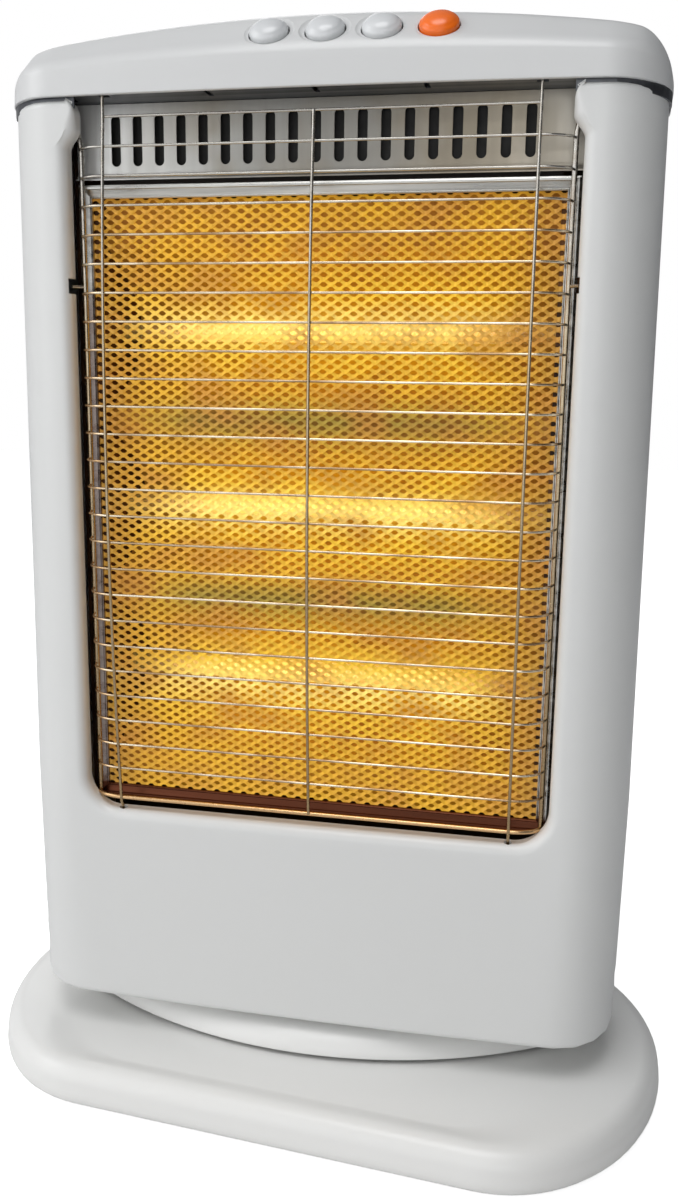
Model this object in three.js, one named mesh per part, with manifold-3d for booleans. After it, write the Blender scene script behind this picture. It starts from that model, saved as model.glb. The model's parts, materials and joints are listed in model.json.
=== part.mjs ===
// Oscillating halogen heater: three lamps in a parabolic reflector behind an expanded-metal net and a
// wire guard, a white shell with four push buttons, and a wide oval base that the body turns on.
// Millimetres. +Z up, the front looks along -Y, the origin is on the floor on the turning axis.

import * as THREE from 'three';
import { mergeVertices } from 'three/addons/utils/BufferGeometryUtils.js';
import Module from 'manifold-3d';

const wasm = await Module();
wasm.setup();

// ---------------------------------------------------------------- driving dimensions

const GAP = 0.3; // running gap between neighbouring pieces
const SWING = 35; // degrees the body turns each way from the middle of its swing
const BASE_TURN = -5.4; // degrees the base stands turned under the body at rest

// body shell
const BODY_HALF_WIDTH = 156;
const FRONT_Y = -54.2; // middle of the front face
const FRONT_BOW = 2.5; // how far the front face falls back towards its corners
const FRONT_CORNER = { x: 33, y: 36.7 }; // half axes of the elliptic front corners
const BACK_Y = 55;
const BACK_CORNER = 36;
const SEAM_Y = 8; // where the front panel meets the rear cover
const WALL = 2.5;
const BODY_BOTTOM = 40.4;
const PILLAR_TOP = 484.6;
const REAR_TOP = PILLAR_TOP + 4.6;
const EDGE_ROUND = 2.2;

// opening in the front panel
const OPENING_HALF_WIDTH = 118.3;
const OPENING_BOTTOM = 148.6;
const OPENING_CORNER = 17;
const FLANGE_DEPTH = 10.5;
const FLANGE_WALL = 2.2;
const EAR_REACH = 6; // the rounded ears at the top of the pillars
const EAR_BOTTOM = PILLAR_TOP - 15.6;
const EAR_MIDDLE = PILLAR_TOP - 8.1;
const HOOK_SLOT = { z: PILLAR_TOP - 74.6, height: 10, depth: 5.6 };
const ROD_NOTCH = { width: 6, depth: 7 };

// top cover
const COVER_EDGE = REAR_TOP + GAP; // height of its lower edge
const COVER_HEIGHT = 39.5;
const COVER_OVERHANG = 1.5;
const COVER_WALL = 2.2;
const COVER_ARCH = 7; // fall of the crest at COVER_ARCH_AT from the middle
const COVER_ARCH_AT = 115;
const COVER_END_RADIUS = 18;
const COVER_END_DROP = 22;
const SHELF_THICKNESS = 1;
const SHELF_MARGIN = 1.2; // clearance of the shelf inside the cover's wall
const SHELF_BOTTOM = COVER_EDGE + 0.5;

// push buttons, in a row on the sloping face of the cover
const FACE_TILT = 43; // degrees
const FACE_LOW = { y: -48, h: 22.6 }; // ends of the sloping face, h above the cover's edge
const FACE_HIGH = { y: -38, h: 31.9 };
const FASCIA = { h: 14, lean: 1.4 }; // steep front below the face, leaning back on its way up
const CREASE = { h: 18.6, lean: 2.4 }; // where the fascia and the face would meet
const SHOULDER_H = 38; // height that the face bends towards
const CROWN = { front: -4, rear: 14 }; // ends of the level crown
const TAIL = { h: 9, lean: 2 }; // the back drops steeply to here
const BUTTON_COUNT = 4;
const BUTTON_PITCH = 26;
const BUTTON_ROW_X = 12.5;
const BUTTON_RADIUS = 9.8;
const BUTTON_DOME = 4.4;
const BUTTON_TRAVEL = 3;
const BUTTON_HOLE_GAP = 0.5;
const BUTTON_FLANGE = 1.8; // how far the retaining flange reaches past the skirt
const BUTTON_FLANGE_AT = 5.4; // its depth under the face
const DISH_MARGIN = 2.6; // shallow dish round each button
const DISH_DEPTH = 0.9;
const STEM_RADIUS = 3;
const STEM_END = 14;
const SWITCH = { width: 16, depth: 13, top: 10.5, height: 9 };
const BRACKET_THICKNESS = 1.2;
const CUTOUT = { x: -80, radius: 8, height: 9, plate: { width: 26, depth: 9, thickness: 1.5 } };

// wire guard
const WIRE_COUNT = 25;
const TOP_WIRE = PILLAR_TOP - 3.6;
const GUARD_LOW = OPENING_BOTTOM + 6.1; // bottom bar, just under the lowest wire
const WIRE_PITCH = (TOP_WIRE - GUARD_LOW) / (WIRE_COUNT + 0.1);
const WIRE_RADIUS = 0.6;
const ROD_RADIUS = 1;
const SIDE_ROD_RADIUS = 1.25;
const BAR_RADIUS = 1.4;
const ROD_X = 98.5;
const SIDE_ROD_X = 113.5;
const SIDE_ROD_TIP_X = 117.5;
const SIDE_ROD_Y = -41;
const GUARD_EDGE_Y = -49.4; // front plane of the guard at its top and bottom
const GUARD_BULGE = 7.5; // and how far it swells at mid height
const WIRE_SIDES = 4;

// net, its frame and the louver plate above it
const NET_THICKNESS = 1;
const NET_COLUMNS = 6;
const NET_ROWS = 21;
const NET_STRAND = 1.5;
const LOUVER_BOTTOM = PILLAR_TOP - 27.6;
const LOUVER_SLOT_BOTTOM = LOUVER_BOTTOM + 5;
const LOUVER_SLOT_TOP = PILLAR_TOP + 0.4;
const FRAME_HALF_WIDTH = 117;
const FRAME_TOP = LOUVER_BOTTOM - 6;
const FRAME_BOTTOM = OPENING_BOTTOM + 1.4;
const NET_LAP = 3; // how far the frame reaches past the net that it holds
const NET_HALF_WIDTH = FRAME_HALF_WIDTH - NET_LAP;
const NET_TOP = FRAME_TOP - NET_LAP;
const NET_BOTTOM = FRAME_BOTTOM + NET_LAP;
const FRAME_STRIP = 6; // width of the bevelled strip
const FRAME_Y = -38.5; // front of the strip
const FRAME_DEPTH = 3.7;
const LOUVER_COUNT = 19;
const LOUVER_PITCH = 10.7;
const LOUVER_SLOT_WIDTH = 4.3;
const LOUVER_LIP = 4;
const SHEET = 0.8; // thin sheet metal

// reflector and lamps
const LAMP_COUNT = 3;
const LAMP_Y = 0;
const RIDGE_Y = -24; // front of the ridges between the troughs
const RIDGE_HALF = 6;
const TROUGH_BACK_Y = 20;
const REFLECTOR_TOP = FRAME_TOP - 5;
const REFLECTOR_BOTTOM = FRAME_BOTTOM + 5;
const LAMP_PITCH = (REFLECTOR_TOP - REFLECTOR_BOTTOM - 27) / LAMP_COUNT;
const LAMP_MIDDLE = (REFLECTOR_TOP + REFLECTOR_BOTTOM - 1) / 2; // height of the middle lamp
const TUBE_RADIUS = 5.5;
const TUBE_WALL = 1;
const TUBE_HALF_LENGTH = FRAME_HALF_WIDTH + 1; // the lamps end just outside the frame
const CAP_START = TUBE_HALF_LENGTH - 7; // the ceramic caps hold the last 7 of each tube
const CAP_END = TUBE_HALF_LENGTH + 13;
const FILAMENT_RADIUS = 1;
const CAP_RADIUS = 7;
const END_PLATE = 1;
const END_PLATE_X = CAP_START - 1 - END_PLATE; // plates that close the troughs, 1 inside the caps
const REFLECTOR_HALF_WIDTH = END_PLATE_X - GAP;
const BRACKET_X = TUBE_HALF_LENGTH + 1; // vertical brackets that hold the lamp caps
const BRACKET_SHEET = 1.5;
const BRACKET_BACK_Y = 25.2;

// body screws, front to back at the sides
const SCREW_X = BODY_HALF_WIDTH - 16;
const BRACKET_FLANGE_X = SCREW_X + 6;
const SHIELD_HALF_WIDTH = SCREW_X - 6;
const SCREW_HEIGHTS = [BODY_BOTTOM + 129.6, PILLAR_TOP - 54.6];
const BOSS_RADIUS = 4.2;
const SCREW_RADIUS = 1.8;
const SCREW_BORE = 2.1;
const SCREW_HEAD_RADIUS = 3.6;
const SCREW_HEAD = 2.4;
const SCREW_SINK = 3; // depth of the hollow that the head lies in
const SCREW_REACH = 12; // length of thread in the front boss

// rear cover details
const VENT = { length: 88, height: 6, pitch: 14, x: 56 };
const UPPER_VENT_Z = 270;
const LOWER_VENT_Z = 92;
const VENT_FIELDS = [{ z: UPPER_VENT_Z, rows: 8 }, { z: LOWER_VENT_Z, rows: 3 }];
const GRIP = { halfWidth: 56, bottom: PILLAR_TOP - 60.6, top: PILLAR_TOP - 30.6, depth: 22, wall: 2 };
const TERMINAL = { halfWidth: 20, halfDepth: 7, height: 12, wellPitch: 14, well: 2.6, y: 20 };
const GLAND = { x: -70, z: 64, radius: 8, bore: 3.8, flange: 10.5, flangeThickness: 2.2 };

// neck under the body and its turning joint
const NECK_HALF_WIDTH = 152;
const NECK_HALF_DEPTH = 57;
const NECK_BOTTOM = 24;
const NECK_TOP = 39.4;
const NECK_ROUND = 16; // how far the bulge draws in from its toe to its top
const NECK_WALL = 2.5;
const FLOOR_PLATE = { bottom: 41.5, top: 44 };
const PIVOT_RADIUS = 10;
const PIVOT_BORE = 7.5;
const PIVOT_FLANGE = { radius: 22, thickness: 2.2 };
const PIVOT_TOP = 52;
const HUB_RADIUS = 15;
const NUT = { radius: 16, height: 6 };

// swing drive: a crank pin runs in the slot of an arm that is fixed to the pivot tube
const MOTOR_OFFSET = 39; // from the turning axis to the motor shaft
const MOTOR = { radius: 22, height: 16, earReach: 31, ear: 6 };
const SHAFT_RADIUS = 3;
const CRANK_PIN_RADIUS = 2.5;
const CRANK_THICKNESS = 3;
const CRANK_WIDTH = 12;
const ARM_THICKNESS = 3;
const ARM_MARGIN = 3;
const CRANK_TURN = 90 + SWING; // crank turn that goes with one full SWING
const CRANK_RADIUS = MOTOR_OFFSET * Math.sin(THREE.MathUtils.degToRad(SWING));

// base
const BASE_HALF_WIDTH = 182;
const BASE_HALF_DEPTH = 105;
const BASE_END = { x: 70, y: 105 }; // half axes of the elliptic ends
const BASE_BOTTOM = 2;
const BASE_WIDEST = 7;
const RIM_TOP = 23.5;
const RIM_WIDTH = 32;
const BASE_FLOOR = 21.8;
const BASE_WALL = 2.5;
const PLATE_THICKNESS = 2;
const TURRET = { radius: 17, top: 27.4 };
const FOOT = { radius: 9, height: 1.7, x: 125, y: 66 };
const BASE_SCREW = { x: 86, y: 66, head: 3.4, headHeight: 1.2, boss: 5 };
const TIP_SWITCH = { x: 40, y: 52, width: 20, depth: 10, height: 9 };
const PLUNGER_RADIUS = 3;
const PLUNGER_GAP = 0.4;
const PLUNGER_TRAVEL = 4;

// ---------------------------------------------------------------- geometry helpers

const rad = THREE.MathUtils.degToRad;
const byHeight = (a, b) => a.map(({ x, y }) => new THREE.Vector3(x, y, b));

// a closed three.js geometry as a solid that can be joined and cut
function solid(geometry) {
  const bare = geometry.clone();
  bare.deleteAttribute('normal');
  bare.deleteAttribute('uv');
  const merged = mergeVertices(bare, 1e-4);
  return new wasm.Manifold(new wasm.Mesh({
    numProp: 3,
    vertProperties: merged.attributes.position.array,
    triVerts: Uint32Array.from(merged.index.array),
  }));
}

function geometryOf(body) {
  const { vertProperties, triVerts } = body.getMesh();
  const geometry = new THREE.BufferGeometry();
  geometry.setAttribute('position', new THREE.BufferAttribute(new Float32Array(vertProperties), 3));
  geometry.setIndex(new THREE.BufferAttribute(new Uint32Array(triVerts), 1));
  geometry.computeVertexNormals();
  return geometry;
}

const union = (bodies) => bodies.reduce((sum, body) => sum.add(body));
const cutAll = (body, tools) => tools.reduce((rest, tool) => rest.subtract(tool), body);

function box([x0, x1], [y0, y1], [z0, z1]) {
  const geometry = new THREE.BoxGeometry(x1 - x0, y1 - y0, z1 - z0);
  geometry.translate((x0 + x1) / 2, (y0 + y1) / 2, (z0 + z1) / 2);
  return solid(geometry);
}

// a flat shape pushed along Z, Y or X; the shape is drawn in XY, XZ or YZ
function alongZ(shape, z0, z1, curveSegments = 4) {
  const geometry = new THREE.ExtrudeGeometry(shape, { depth: z1 - z0, bevelEnabled: false, curveSegments });
  geometry.translate(0, 0, z0);
  return solid(geometry);
}

function alongY(shape, y0, y1, curveSegments = 4) {
  const geometry = new THREE.ExtrudeGeometry(shape, { depth: y1 - y0, bevelEnabled: false, curveSegments });
  geometry.rotateX(Math.PI / 2);
  geometry.translate(0, y1, 0);
  return solid(geometry);
}

function alongX(shape, x0, x1, curveSegments = 4) {
  const geometry = new THREE.ExtrudeGeometry(shape, { depth: x1 - x0, bevelEnabled: false, curveSegments });
  const [x, y, z] = [new THREE.Vector3(1, 0, 0), new THREE.Vector3(0, 1, 0), new THREE.Vector3(0, 0, 1)];
  geometry.applyMatrix4(new THREE.Matrix4().makeBasis(y, z, x));
  geometry.translate(x0, 0, 0);
  return solid(geometry);
}

// a turned solid about Z from [radius, height] pairs that start and end on the axis or close on themselves
function turned(profile, segments = 16) {
  const points = profile.map(([r, z]) => new THREE.Vector2(r, z));
  const geometry = new THREE.LatheGeometry(points, segments);
  geometry.rotateX(Math.PI / 2);
  return solid(geometry);
}

function rod(radius, z0, z1, segments = 16) {
  return turned([[0, z0], [radius, z0], [radius, z1], [0, z1]], segments);
}

function sleeve(outer, inner, z0, z1, segments = 16) {
  return turned([[inner, z0], [outer, z0], [outer, z1], [inner, z1], [inner, z0]], segments);
}

const turnToY = (body) => body.rotate([-90, 0, 0]); // +Z of the turned solid becomes +Y
const turnToX = (body) => body.rotate([0, 90, 0]); // +Z of the turned solid becomes +X

// skin through rings of equal point count, closed at both ends
function loft(rings) {
  const count = rings[0].length;
  const positions = rings.flat().flatMap((point) => [point.x, point.y, point.z]);
  const index = [];
  for (let ring = 0; ring + 1 < rings.length; ring += 1) {
    for (let side = 0; side < count; side += 1) {
      const a = ring * count + side;
      const b = ring * count + (side + 1) % count;
      index.push(a, b, b + count, a, b + count, a + count);
    }
  }
  const caps = [rings[0], rings[rings.length - 1]];
  caps.forEach((ring, end) => {
    const middle = ring.reduce((sum, point) => sum.add(point), new THREE.Vector3()).divideScalar(count);
    const centre = positions.length / 3;
    positions.push(middle.x, middle.y, middle.z);
    const first = end === 0 ? 0 : (rings.length - 1) * count;
    for (let side = 0; side < count; side += 1) {
      const here = first + side;
      const next = first + (side + 1) % count;
      index.push(centre, ...(end === 0 ? [next, here] : [here, next]));
    }
  });
  const geometry = new THREE.BufferGeometry();
  geometry.setAttribute('position', new THREE.Float32BufferAttribute(positions, 3));
  geometry.setIndex(index);
  return solid(geometry);
}

// a round wire along points that lie in a plane with the given normal
function wire(points, radius, normal, sides = WIRE_SIDES) {
  const rings = points.map((point, k) => {
    const before = points[Math.max(k - 1, 0)];
    const after = points[Math.min(k + 1, points.length - 1)];
    const across = normal.clone().cross(after.clone().sub(before)).normalize();
    return Array.from({ length: sides }, (_, side) => {
      const angle = (side + 0.5) * 2 * Math.PI / sides;
      return point.clone()
        .addScaledVector(across, radius * Math.cos(angle))
        .addScaledVector(normal, radius * Math.sin(angle));
    });
  });
  return loft(rings);
}

// an upright prism over plan(inset), its lower and upper edges rounded
function roundedPrism(plan, z0, z1, lowRadius, highRadius, steps = 2) {
  const rings = [];
  for (let k = 0; k <= steps; k += 1) {
    const angle = (k / steps) * Math.PI / 2;
    rings.push(byHeight(plan(lowRadius * (1 - Math.sin(angle))), z0 + lowRadius * (1 - Math.cos(angle))));
  }
  for (let k = steps; k >= 0; k -= 1) {
    const angle = (k / steps) * Math.PI / 2;
    rings.push(byHeight(plan(highRadius * (1 - Math.sin(angle))), z1 - highRadius * (1 - Math.cos(angle))));
  }
  return loft(rings);
}

// ---------------------------------------------------------------- outlines

// plan of the body: bowed front, elliptic front corners, flat sides, round back corners
function bodyShape(inset = 0) {
  const half = BODY_HALF_WIDTH - inset;
  const [rx, ry] = [FRONT_CORNER.x - inset, FRONT_CORNER.y - inset];
  const back = BACK_CORNER - inset;
  const cornerX = half - rx;
  const cornerY = FRONT_Y + FRONT_BOW + inset;
  const shape = new THREE.Shape();
  shape.moveTo(-cornerX, cornerY);
  shape.quadraticCurveTo(0, cornerY - 2 * FRONT_BOW, cornerX, cornerY);
  shape.absellipse(cornerX, cornerY + ry, rx, ry, -Math.PI / 2, 0, false, 0);
  shape.absarc(half - back, BACK_Y - inset - back, back, 0, Math.PI / 2, false);
  shape.absarc(back - half, BACK_Y - inset - back, back, Math.PI / 2, Math.PI, false);
  shape.absellipse(-cornerX, cornerY + ry, rx, ry, Math.PI, 1.5 * Math.PI, false, 0);
  return shape;
}

// closed ring of points on an outline, the same number whatever its size
function ringOf(shape, divisions) {
  return shape.curves
    .filter((curve) => curve.getLength() > 1e-6)
    .flatMap((curve) => curve.getPoints(curve.isLineCurve ? 1 : divisions).slice(0, -1));
}

const bodyPlan = (inset = 0) => ringOf(bodyShape(inset), 6);

// where the body's plan, drawn in by inset, starts and ends in Y at a given x
function bodyDepth(x, inset) {
  const half = BODY_HALF_WIDTH - inset;
  const [rx, ry] = [FRONT_CORNER.x - inset, FRONT_CORNER.y - inset];
  const back = BACK_CORNER - inset;
  const side = Math.min(Math.abs(x), half);
  const cornerY = FRONT_Y + FRONT_BOW + inset;
  const round = (past, radius) => Math.sqrt(Math.max(0, 1 - (past / radius) ** 2));
  const front = side <= half - rx
    ? cornerY - FRONT_BOW * (1 - (side / (half - rx)) ** 2)
    : cornerY + ry * (1 - round(side - half + rx, rx));
  const rear = BACK_Y - inset - back * (1 - round(Math.max(0, side - half + back), back));
  return { front, rear };
}

// plan of the base: straight front and back, elliptic ends
function basePlan(inset = 0) {
  const half = BASE_HALF_WIDTH - inset;
  const [rx, ry] = [BASE_END.x - inset, BASE_END.y - inset];
  const shape = new THREE.Shape();
  shape.moveTo(rx - half, -ry);
  shape.lineTo(half - rx, -ry);
  shape.absellipse(half - rx, 0, rx, ry, -Math.PI / 2, Math.PI / 2, false, 0);
  shape.lineTo(rx - half, ry);
  shape.absellipse(rx - half, 0, rx, ry, Math.PI / 2, 1.5 * Math.PI, false, 0);
  return ringOf(shape, 12);
}

// plan of the neck: a lens of two equal arcs
function neckPlan(inset = 0) {
  const depth = NECK_HALF_DEPTH - inset;
  const radius = (NECK_HALF_WIDTH ** 2 + NECK_HALF_DEPTH ** 2) / (2 * NECK_HALF_DEPTH) - inset;
  const half = Math.sqrt(radius ** 2 - (radius - depth) ** 2);
  const reach = Math.asin(half / radius);
  const shape = new THREE.Shape();
  shape.absarc(0, radius - depth, radius, -Math.PI / 2 - reach, -Math.PI / 2 + reach, false);
  shape.absarc(0, depth - radius, radius, Math.PI / 2 - reach, Math.PI / 2 + reach, false);
  return ringOf(shape, 10);
}

// opening in the front panel in XZ, drawn out by margin, running out past the top of the pillars
function openingShape(margin = 0) {
  const half = OPENING_HALF_WIDTH + margin;
  const bottom = OPENING_BOTTOM - margin;
  const radius = OPENING_CORNER + margin;
  const ear = half - EAR_REACH;
  const top = COVER_EDGE + COVER_HEIGHT;
  const bend = (EAR_MIDDLE - EAR_BOTTOM) / 2;
  const shape = new THREE.Shape();
  shape.moveTo(radius - half, bottom);
  shape.lineTo(half - radius, bottom);
  shape.absarc(half - radius, bottom + radius, radius, -Math.PI / 2, 0, false);
  shape.lineTo(half, EAR_BOTTOM);
  shape.bezierCurveTo(half, EAR_BOTTOM + bend, ear, EAR_MIDDLE - bend, ear, EAR_MIDDLE);
  shape.lineTo(ear, top);
  shape.lineTo(-ear, top);
  shape.lineTo(-ear, EAR_MIDDLE);
  shape.bezierCurveTo(-ear, EAR_MIDDLE - bend, -half, EAR_BOTTOM + bend, -half, EAR_BOTTOM);
  shape.lineTo(-half, bottom + radius);
  shape.absarc(radius - half, bottom + radius, radius, Math.PI, 1.5 * Math.PI, false);
  return shape;
}

// a slot with round ends, centred, its length along the first axis of the drawing
function obround(length, width, cx = 0, cy = 0) {
  const [radius, reach] = [width / 2, (length - width) / 2];
  const shape = new THREE.Shape();
  shape.absarc(cx + reach, cy, radius, -Math.PI / 2, Math.PI / 2, false);
  shape.absarc(cx - reach, cy, radius, Math.PI / 2, 1.5 * Math.PI, false);
  return shape;
}

function polygon(points) {
  const shape = new THREE.Shape();
  points.forEach(([x, y], k) => (k === 0 ? shape.moveTo(x, y) : shape.lineTo(x, y)));
  shape.closePath();
  return shape;
}

// ---------------------------------------------------------------- materials and the scene graph

const paint = (color, roughness, metalness = 0) =>
  new THREE.MeshStandardMaterial({ color, roughness, metalness });
const materials = {
  shell: paint(0xe9ebeb, 0.25),
  buttonWhite: paint(0xe4e6e6, 0.3),
  buttonOrange: paint(0xf26a14, 0.3),
  chrome: paint(0xc9c7c0, 0.15, 1),
  steel: paint(0xb9bbbb, 0.3, 1),
  darkSteel: paint(0x5d6164, 0.45, 1),
  gold: paint(0xd9a441, 0.3, 1),
  quartz: paint(0xfff0c8, 0.05),
  filament: paint(0xffb347, 0.4),
  ceramic: paint(0xe8e2d2, 0.6),
  darkPlastic: paint(0x2c2d2f, 0.5),
  rubber: paint(0x1d1d1f, 0.85),
};

const group = new THREE.Group();
const baseGroup = new THREE.Group(); // stands turned under the body
baseGroup.rotation.z = rad(BASE_TURN);
const consoleGroup = new THREE.Group(); // on the sloping face, its Z the face's outward normal
const face = {
  y: (FACE_LOW.y + FACE_HIGH.y) / 2,
  z: COVER_EDGE + (FACE_LOW.h + FACE_HIGH.h) / 2,
};
consoleGroup.position.set(BUTTON_ROW_X, face.y, face.z);
consoleGroup.rotation.x = rad(FACE_TILT);
group.add(baseGroup, consoleGroup);

function place(name, body, material, { parent = group, at = [0, 0, 0] } = {}) {
  const mesh = new THREE.Mesh(geometryOf(body), material);
  mesh.name = name;
  mesh.position.set(...at);
  parent.add(mesh);
  return mesh;
}

const mirrored = [[-1, 'left'], [1, 'right']];

// ---------------------------------------------------------------- base

const plateInset = BASE_WALL + 6.5;

function baseShell() {
  const widestRound = 7;
  const rimRound = 10;
  const outerLevels = [
    [BASE_BOTTOM, 5],
    [BASE_BOTTOM + 2, 1.5],
    [BASE_WIDEST, 0],
    [RIM_TOP - rimRound, 0.4],
  ];
  for (const angle of [40, 90]) { // the outer edge rolls over onto the rim
    outerLevels.push([
      RIM_TOP - rimRound * (1 - Math.sin(rad(angle))),
      0.4 + (RIM_WIDTH / 2) * (1 - Math.cos(rad(angle))),
    ]);
  }
  outerLevels.push([RIM_TOP - 0.5, RIM_WIDTH - widestRound]);
  outerLevels.push([BASE_FLOOR, RIM_WIDTH]);
  const outer = loft(outerLevels.map(([z, inset]) => byHeight(basePlan(inset), z)));
  const ceiling = BASE_FLOOR - BASE_WALL;
  const inner = loft([
    [BASE_BOTTOM - 1, plateInset - GAP],
    [BASE_BOTTOM + PLATE_THICKNESS + 1, plateInset - GAP],
    [BASE_WIDEST + 1, 3],
    [ceiling - 5, 4],
    [ceiling, 12],
  ].map(([z, inset]) => byHeight(basePlan(inset), z)));
  const bosses = baseScrewPlaces().map(([x, y]) =>
    rod(BASE_SCREW.boss, BASE_BOTTOM + PLATE_THICKNESS + GAP, ceiling + 1, 12).translate([x, y, 0]));
  const turret = rod(TURRET.radius, ceiling, TURRET.top);
  const shell = union([outer.subtract(inner), turret, ...bosses]);
  const bores = baseScrewPlaces().map(([x, y]) =>
    rod(SCREW_BORE, 0, ceiling - 1, 8).translate([x, y, 0]));
  const pivotHole = rod(PIVOT_RADIUS + GAP, 0, TURRET.top + 1);
  return cutAll(shell, [pivotHole, ...bores]);
}

function baseScrewPlaces() {
  return [-1, 1].flatMap((sx) => [-1, 1].map((sy) => [sx * BASE_SCREW.x, sy * BASE_SCREW.y]));
}

function buildBase() {
  const parent = baseGroup;
  const plateTop = BASE_BOTTOM + PLATE_THICKNESS;
  const ceiling = BASE_FLOOR - BASE_WALL;
  place('base_shell', baseShell(), materials.shell, { parent });

  const sinks = baseScrewPlaces().map(([x, y]) =>
    rod(BASE_SCREW.head + GAP, 0, BASE_BOTTOM + BASE_SCREW.headHeight + GAP, 10).translate([x, y, 0]));
  const holes = baseScrewPlaces().map(([x, y]) => rod(SCREW_BORE, 0, plateTop + 1, 8).translate([x, y, 0]));
  const cordHole = rod(PIVOT_BORE, 0, plateTop + 1);
  const plungerHole = rod(PLUNGER_RADIUS + PLUNGER_GAP, 0, plateTop + 1, 16)
    .translate([TIP_SWITCH.x, TIP_SWITCH.y, 0]);
  const plate = loft([BASE_BOTTOM, plateTop].map((z) => byHeight(basePlan(plateInset), z)));
  place('base_bottom_plate', cutAll(plate, [...sinks, ...holes, cordHole, plungerHole]),
    materials.darkSteel, { parent });

  let number = 0;
  for (const sx of [-1, 1]) {
    for (const sy of [-1, 1]) {
      number += 1;
      const pad = turned([[0, 0], [FOOT.radius - 1, 0], [FOOT.radius, 0.8],
        [FOOT.radius, FOOT.height], [0, FOOT.height]], 12);
      place(`foot_${number}`, pad, materials.rubber, { parent, at: [sx * FOOT.x, sy * FOOT.y, 0] });
      const neckEnd = plateTop + 10;
      const headTop = BASE_BOTTOM + BASE_SCREW.headHeight;
      const screw = turned([[0, BASE_BOTTOM], [BASE_SCREW.head, BASE_BOTTOM], [BASE_SCREW.head, headTop],
        [SCREW_RADIUS, headTop], [SCREW_RADIUS, neckEnd], [0, neckEnd]], 8);
      place(`base_screw_${number}`, screw, materials.steel,
        { parent, at: [sx * BASE_SCREW.x, sy * BASE_SCREW.y, 0] });
    }
  }

  // hollow pivot tube that the supply lead runs up through, flanged under the base's top wall
  const flangeTop = ceiling - GAP;
  const flangeBottom = flangeTop - PIVOT_FLANGE.thickness;
  place('pivot_tube', turned([[PIVOT_BORE, flangeBottom], [PIVOT_FLANGE.radius, flangeBottom],
    [PIVOT_FLANGE.radius, flangeTop], [PIVOT_RADIUS, flangeTop], [PIVOT_RADIUS, PIVOT_TOP],
    [PIVOT_BORE, PIVOT_TOP], [PIVOT_BORE, flangeBottom]]), materials.steel, { parent });
  place('pivot_nut', turned([[PIVOT_RADIUS + GAP, FLOOR_PLATE.top + GAP], [NUT.radius, FLOOR_PLATE.top + GAP],
    [NUT.radius, FLOOR_PLATE.top + GAP + NUT.height], [PIVOT_RADIUS + GAP, FLOOR_PLATE.top + GAP + NUT.height],
    [PIVOT_RADIUS + GAP, FLOOR_PLATE.top + GAP]]), materials.steel, { parent });
  place('swing_arm', swingArm(), materials.darkPlastic, { parent });

  // tip-over switch: the floor holds its plunger in, and lifting the heater lets it drop
  const { x, y, width, depth, height } = TIP_SWITCH;
  const housing = box([x - width / 2, x + width / 2], [y - depth / 2, y + depth / 2],
    [plateTop + GAP, plateTop + GAP + height]);
  const well = rod(PLUNGER_RADIUS + PLUNGER_GAP, 0, plateTop + height - 1, 16).translate([x, y, 0]);
  place('tip_switch', housing.subtract(well), materials.darkPlastic, { parent });
  place('tip_plunger', turned([[0, 0], [PLUNGER_RADIUS - 0.8, 0], [PLUNGER_RADIUS, 1],
    [PLUNGER_RADIUS, PLUNGER_TRAVEL + plateTop + 1.5], [0, PLUNGER_TRAVEL + plateTop + 1.5]], 16),
  materials.buttonOrange, { parent, at: [x, y, 0] });
}

// ---------------------------------------------------------------- swing drive

const armBottom = TURRET.top + GAP;
const armTop = armBottom + ARM_THICKNESS;
const crankBottom = armTop + 1.5;
const crankTop = crankBottom + CRANK_THICKNESS;
const crankRatio = -CRANK_TURN / SWING; // crank turn for each degree that the body turns

// widest distance between the pin and the slot's middle line when the crank keeps a constant ratio
function pinWander() {
  let widest = 0;
  for (let swing = -SWING; swing <= SWING; swing += 0.5) {
    const crank = rad(-crankRatio * swing);
    const [x, y] = [MOTOR_OFFSET + CRANK_RADIUS * Math.cos(crank), CRANK_RADIUS * Math.sin(crank)];
    widest = Math.max(widest, Math.abs(y * Math.cos(rad(swing)) - x * Math.sin(rad(swing))));
  }
  return widest;
}

const slotHalf = pinWander() + CRANK_PIN_RADIUS + GAP;
const pinFar = MOTOR_OFFSET + CRANK_RADIUS;
const pinNear = Math.hypot(
  MOTOR_OFFSET + CRANK_RADIUS * Math.cos(rad(CRANK_TURN)),
  CRANK_RADIUS * Math.sin(rad(CRANK_TURN)),
);

function swingArm() {
  const armHalf = slotHalf + ARM_MARGIN;
  const arm = alongZ(obround(pinFar + 2 * armHalf, 2 * armHalf, pinFar / 2, 0), armBottom, armTop);
  const hub = rod(HUB_RADIUS, armBottom, armTop);
  const slotLength = pinFar - pinNear + 2 * slotHalf;
  const slot = alongZ(obround(slotLength, 2 * slotHalf, (pinFar + pinNear) / 2, 0), armBottom - 1, armTop + 1);
  return cutAll(arm.add(hub), [slot, rod(PIVOT_RADIUS + GAP, armBottom - 1, armTop + 1)]);
}

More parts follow.
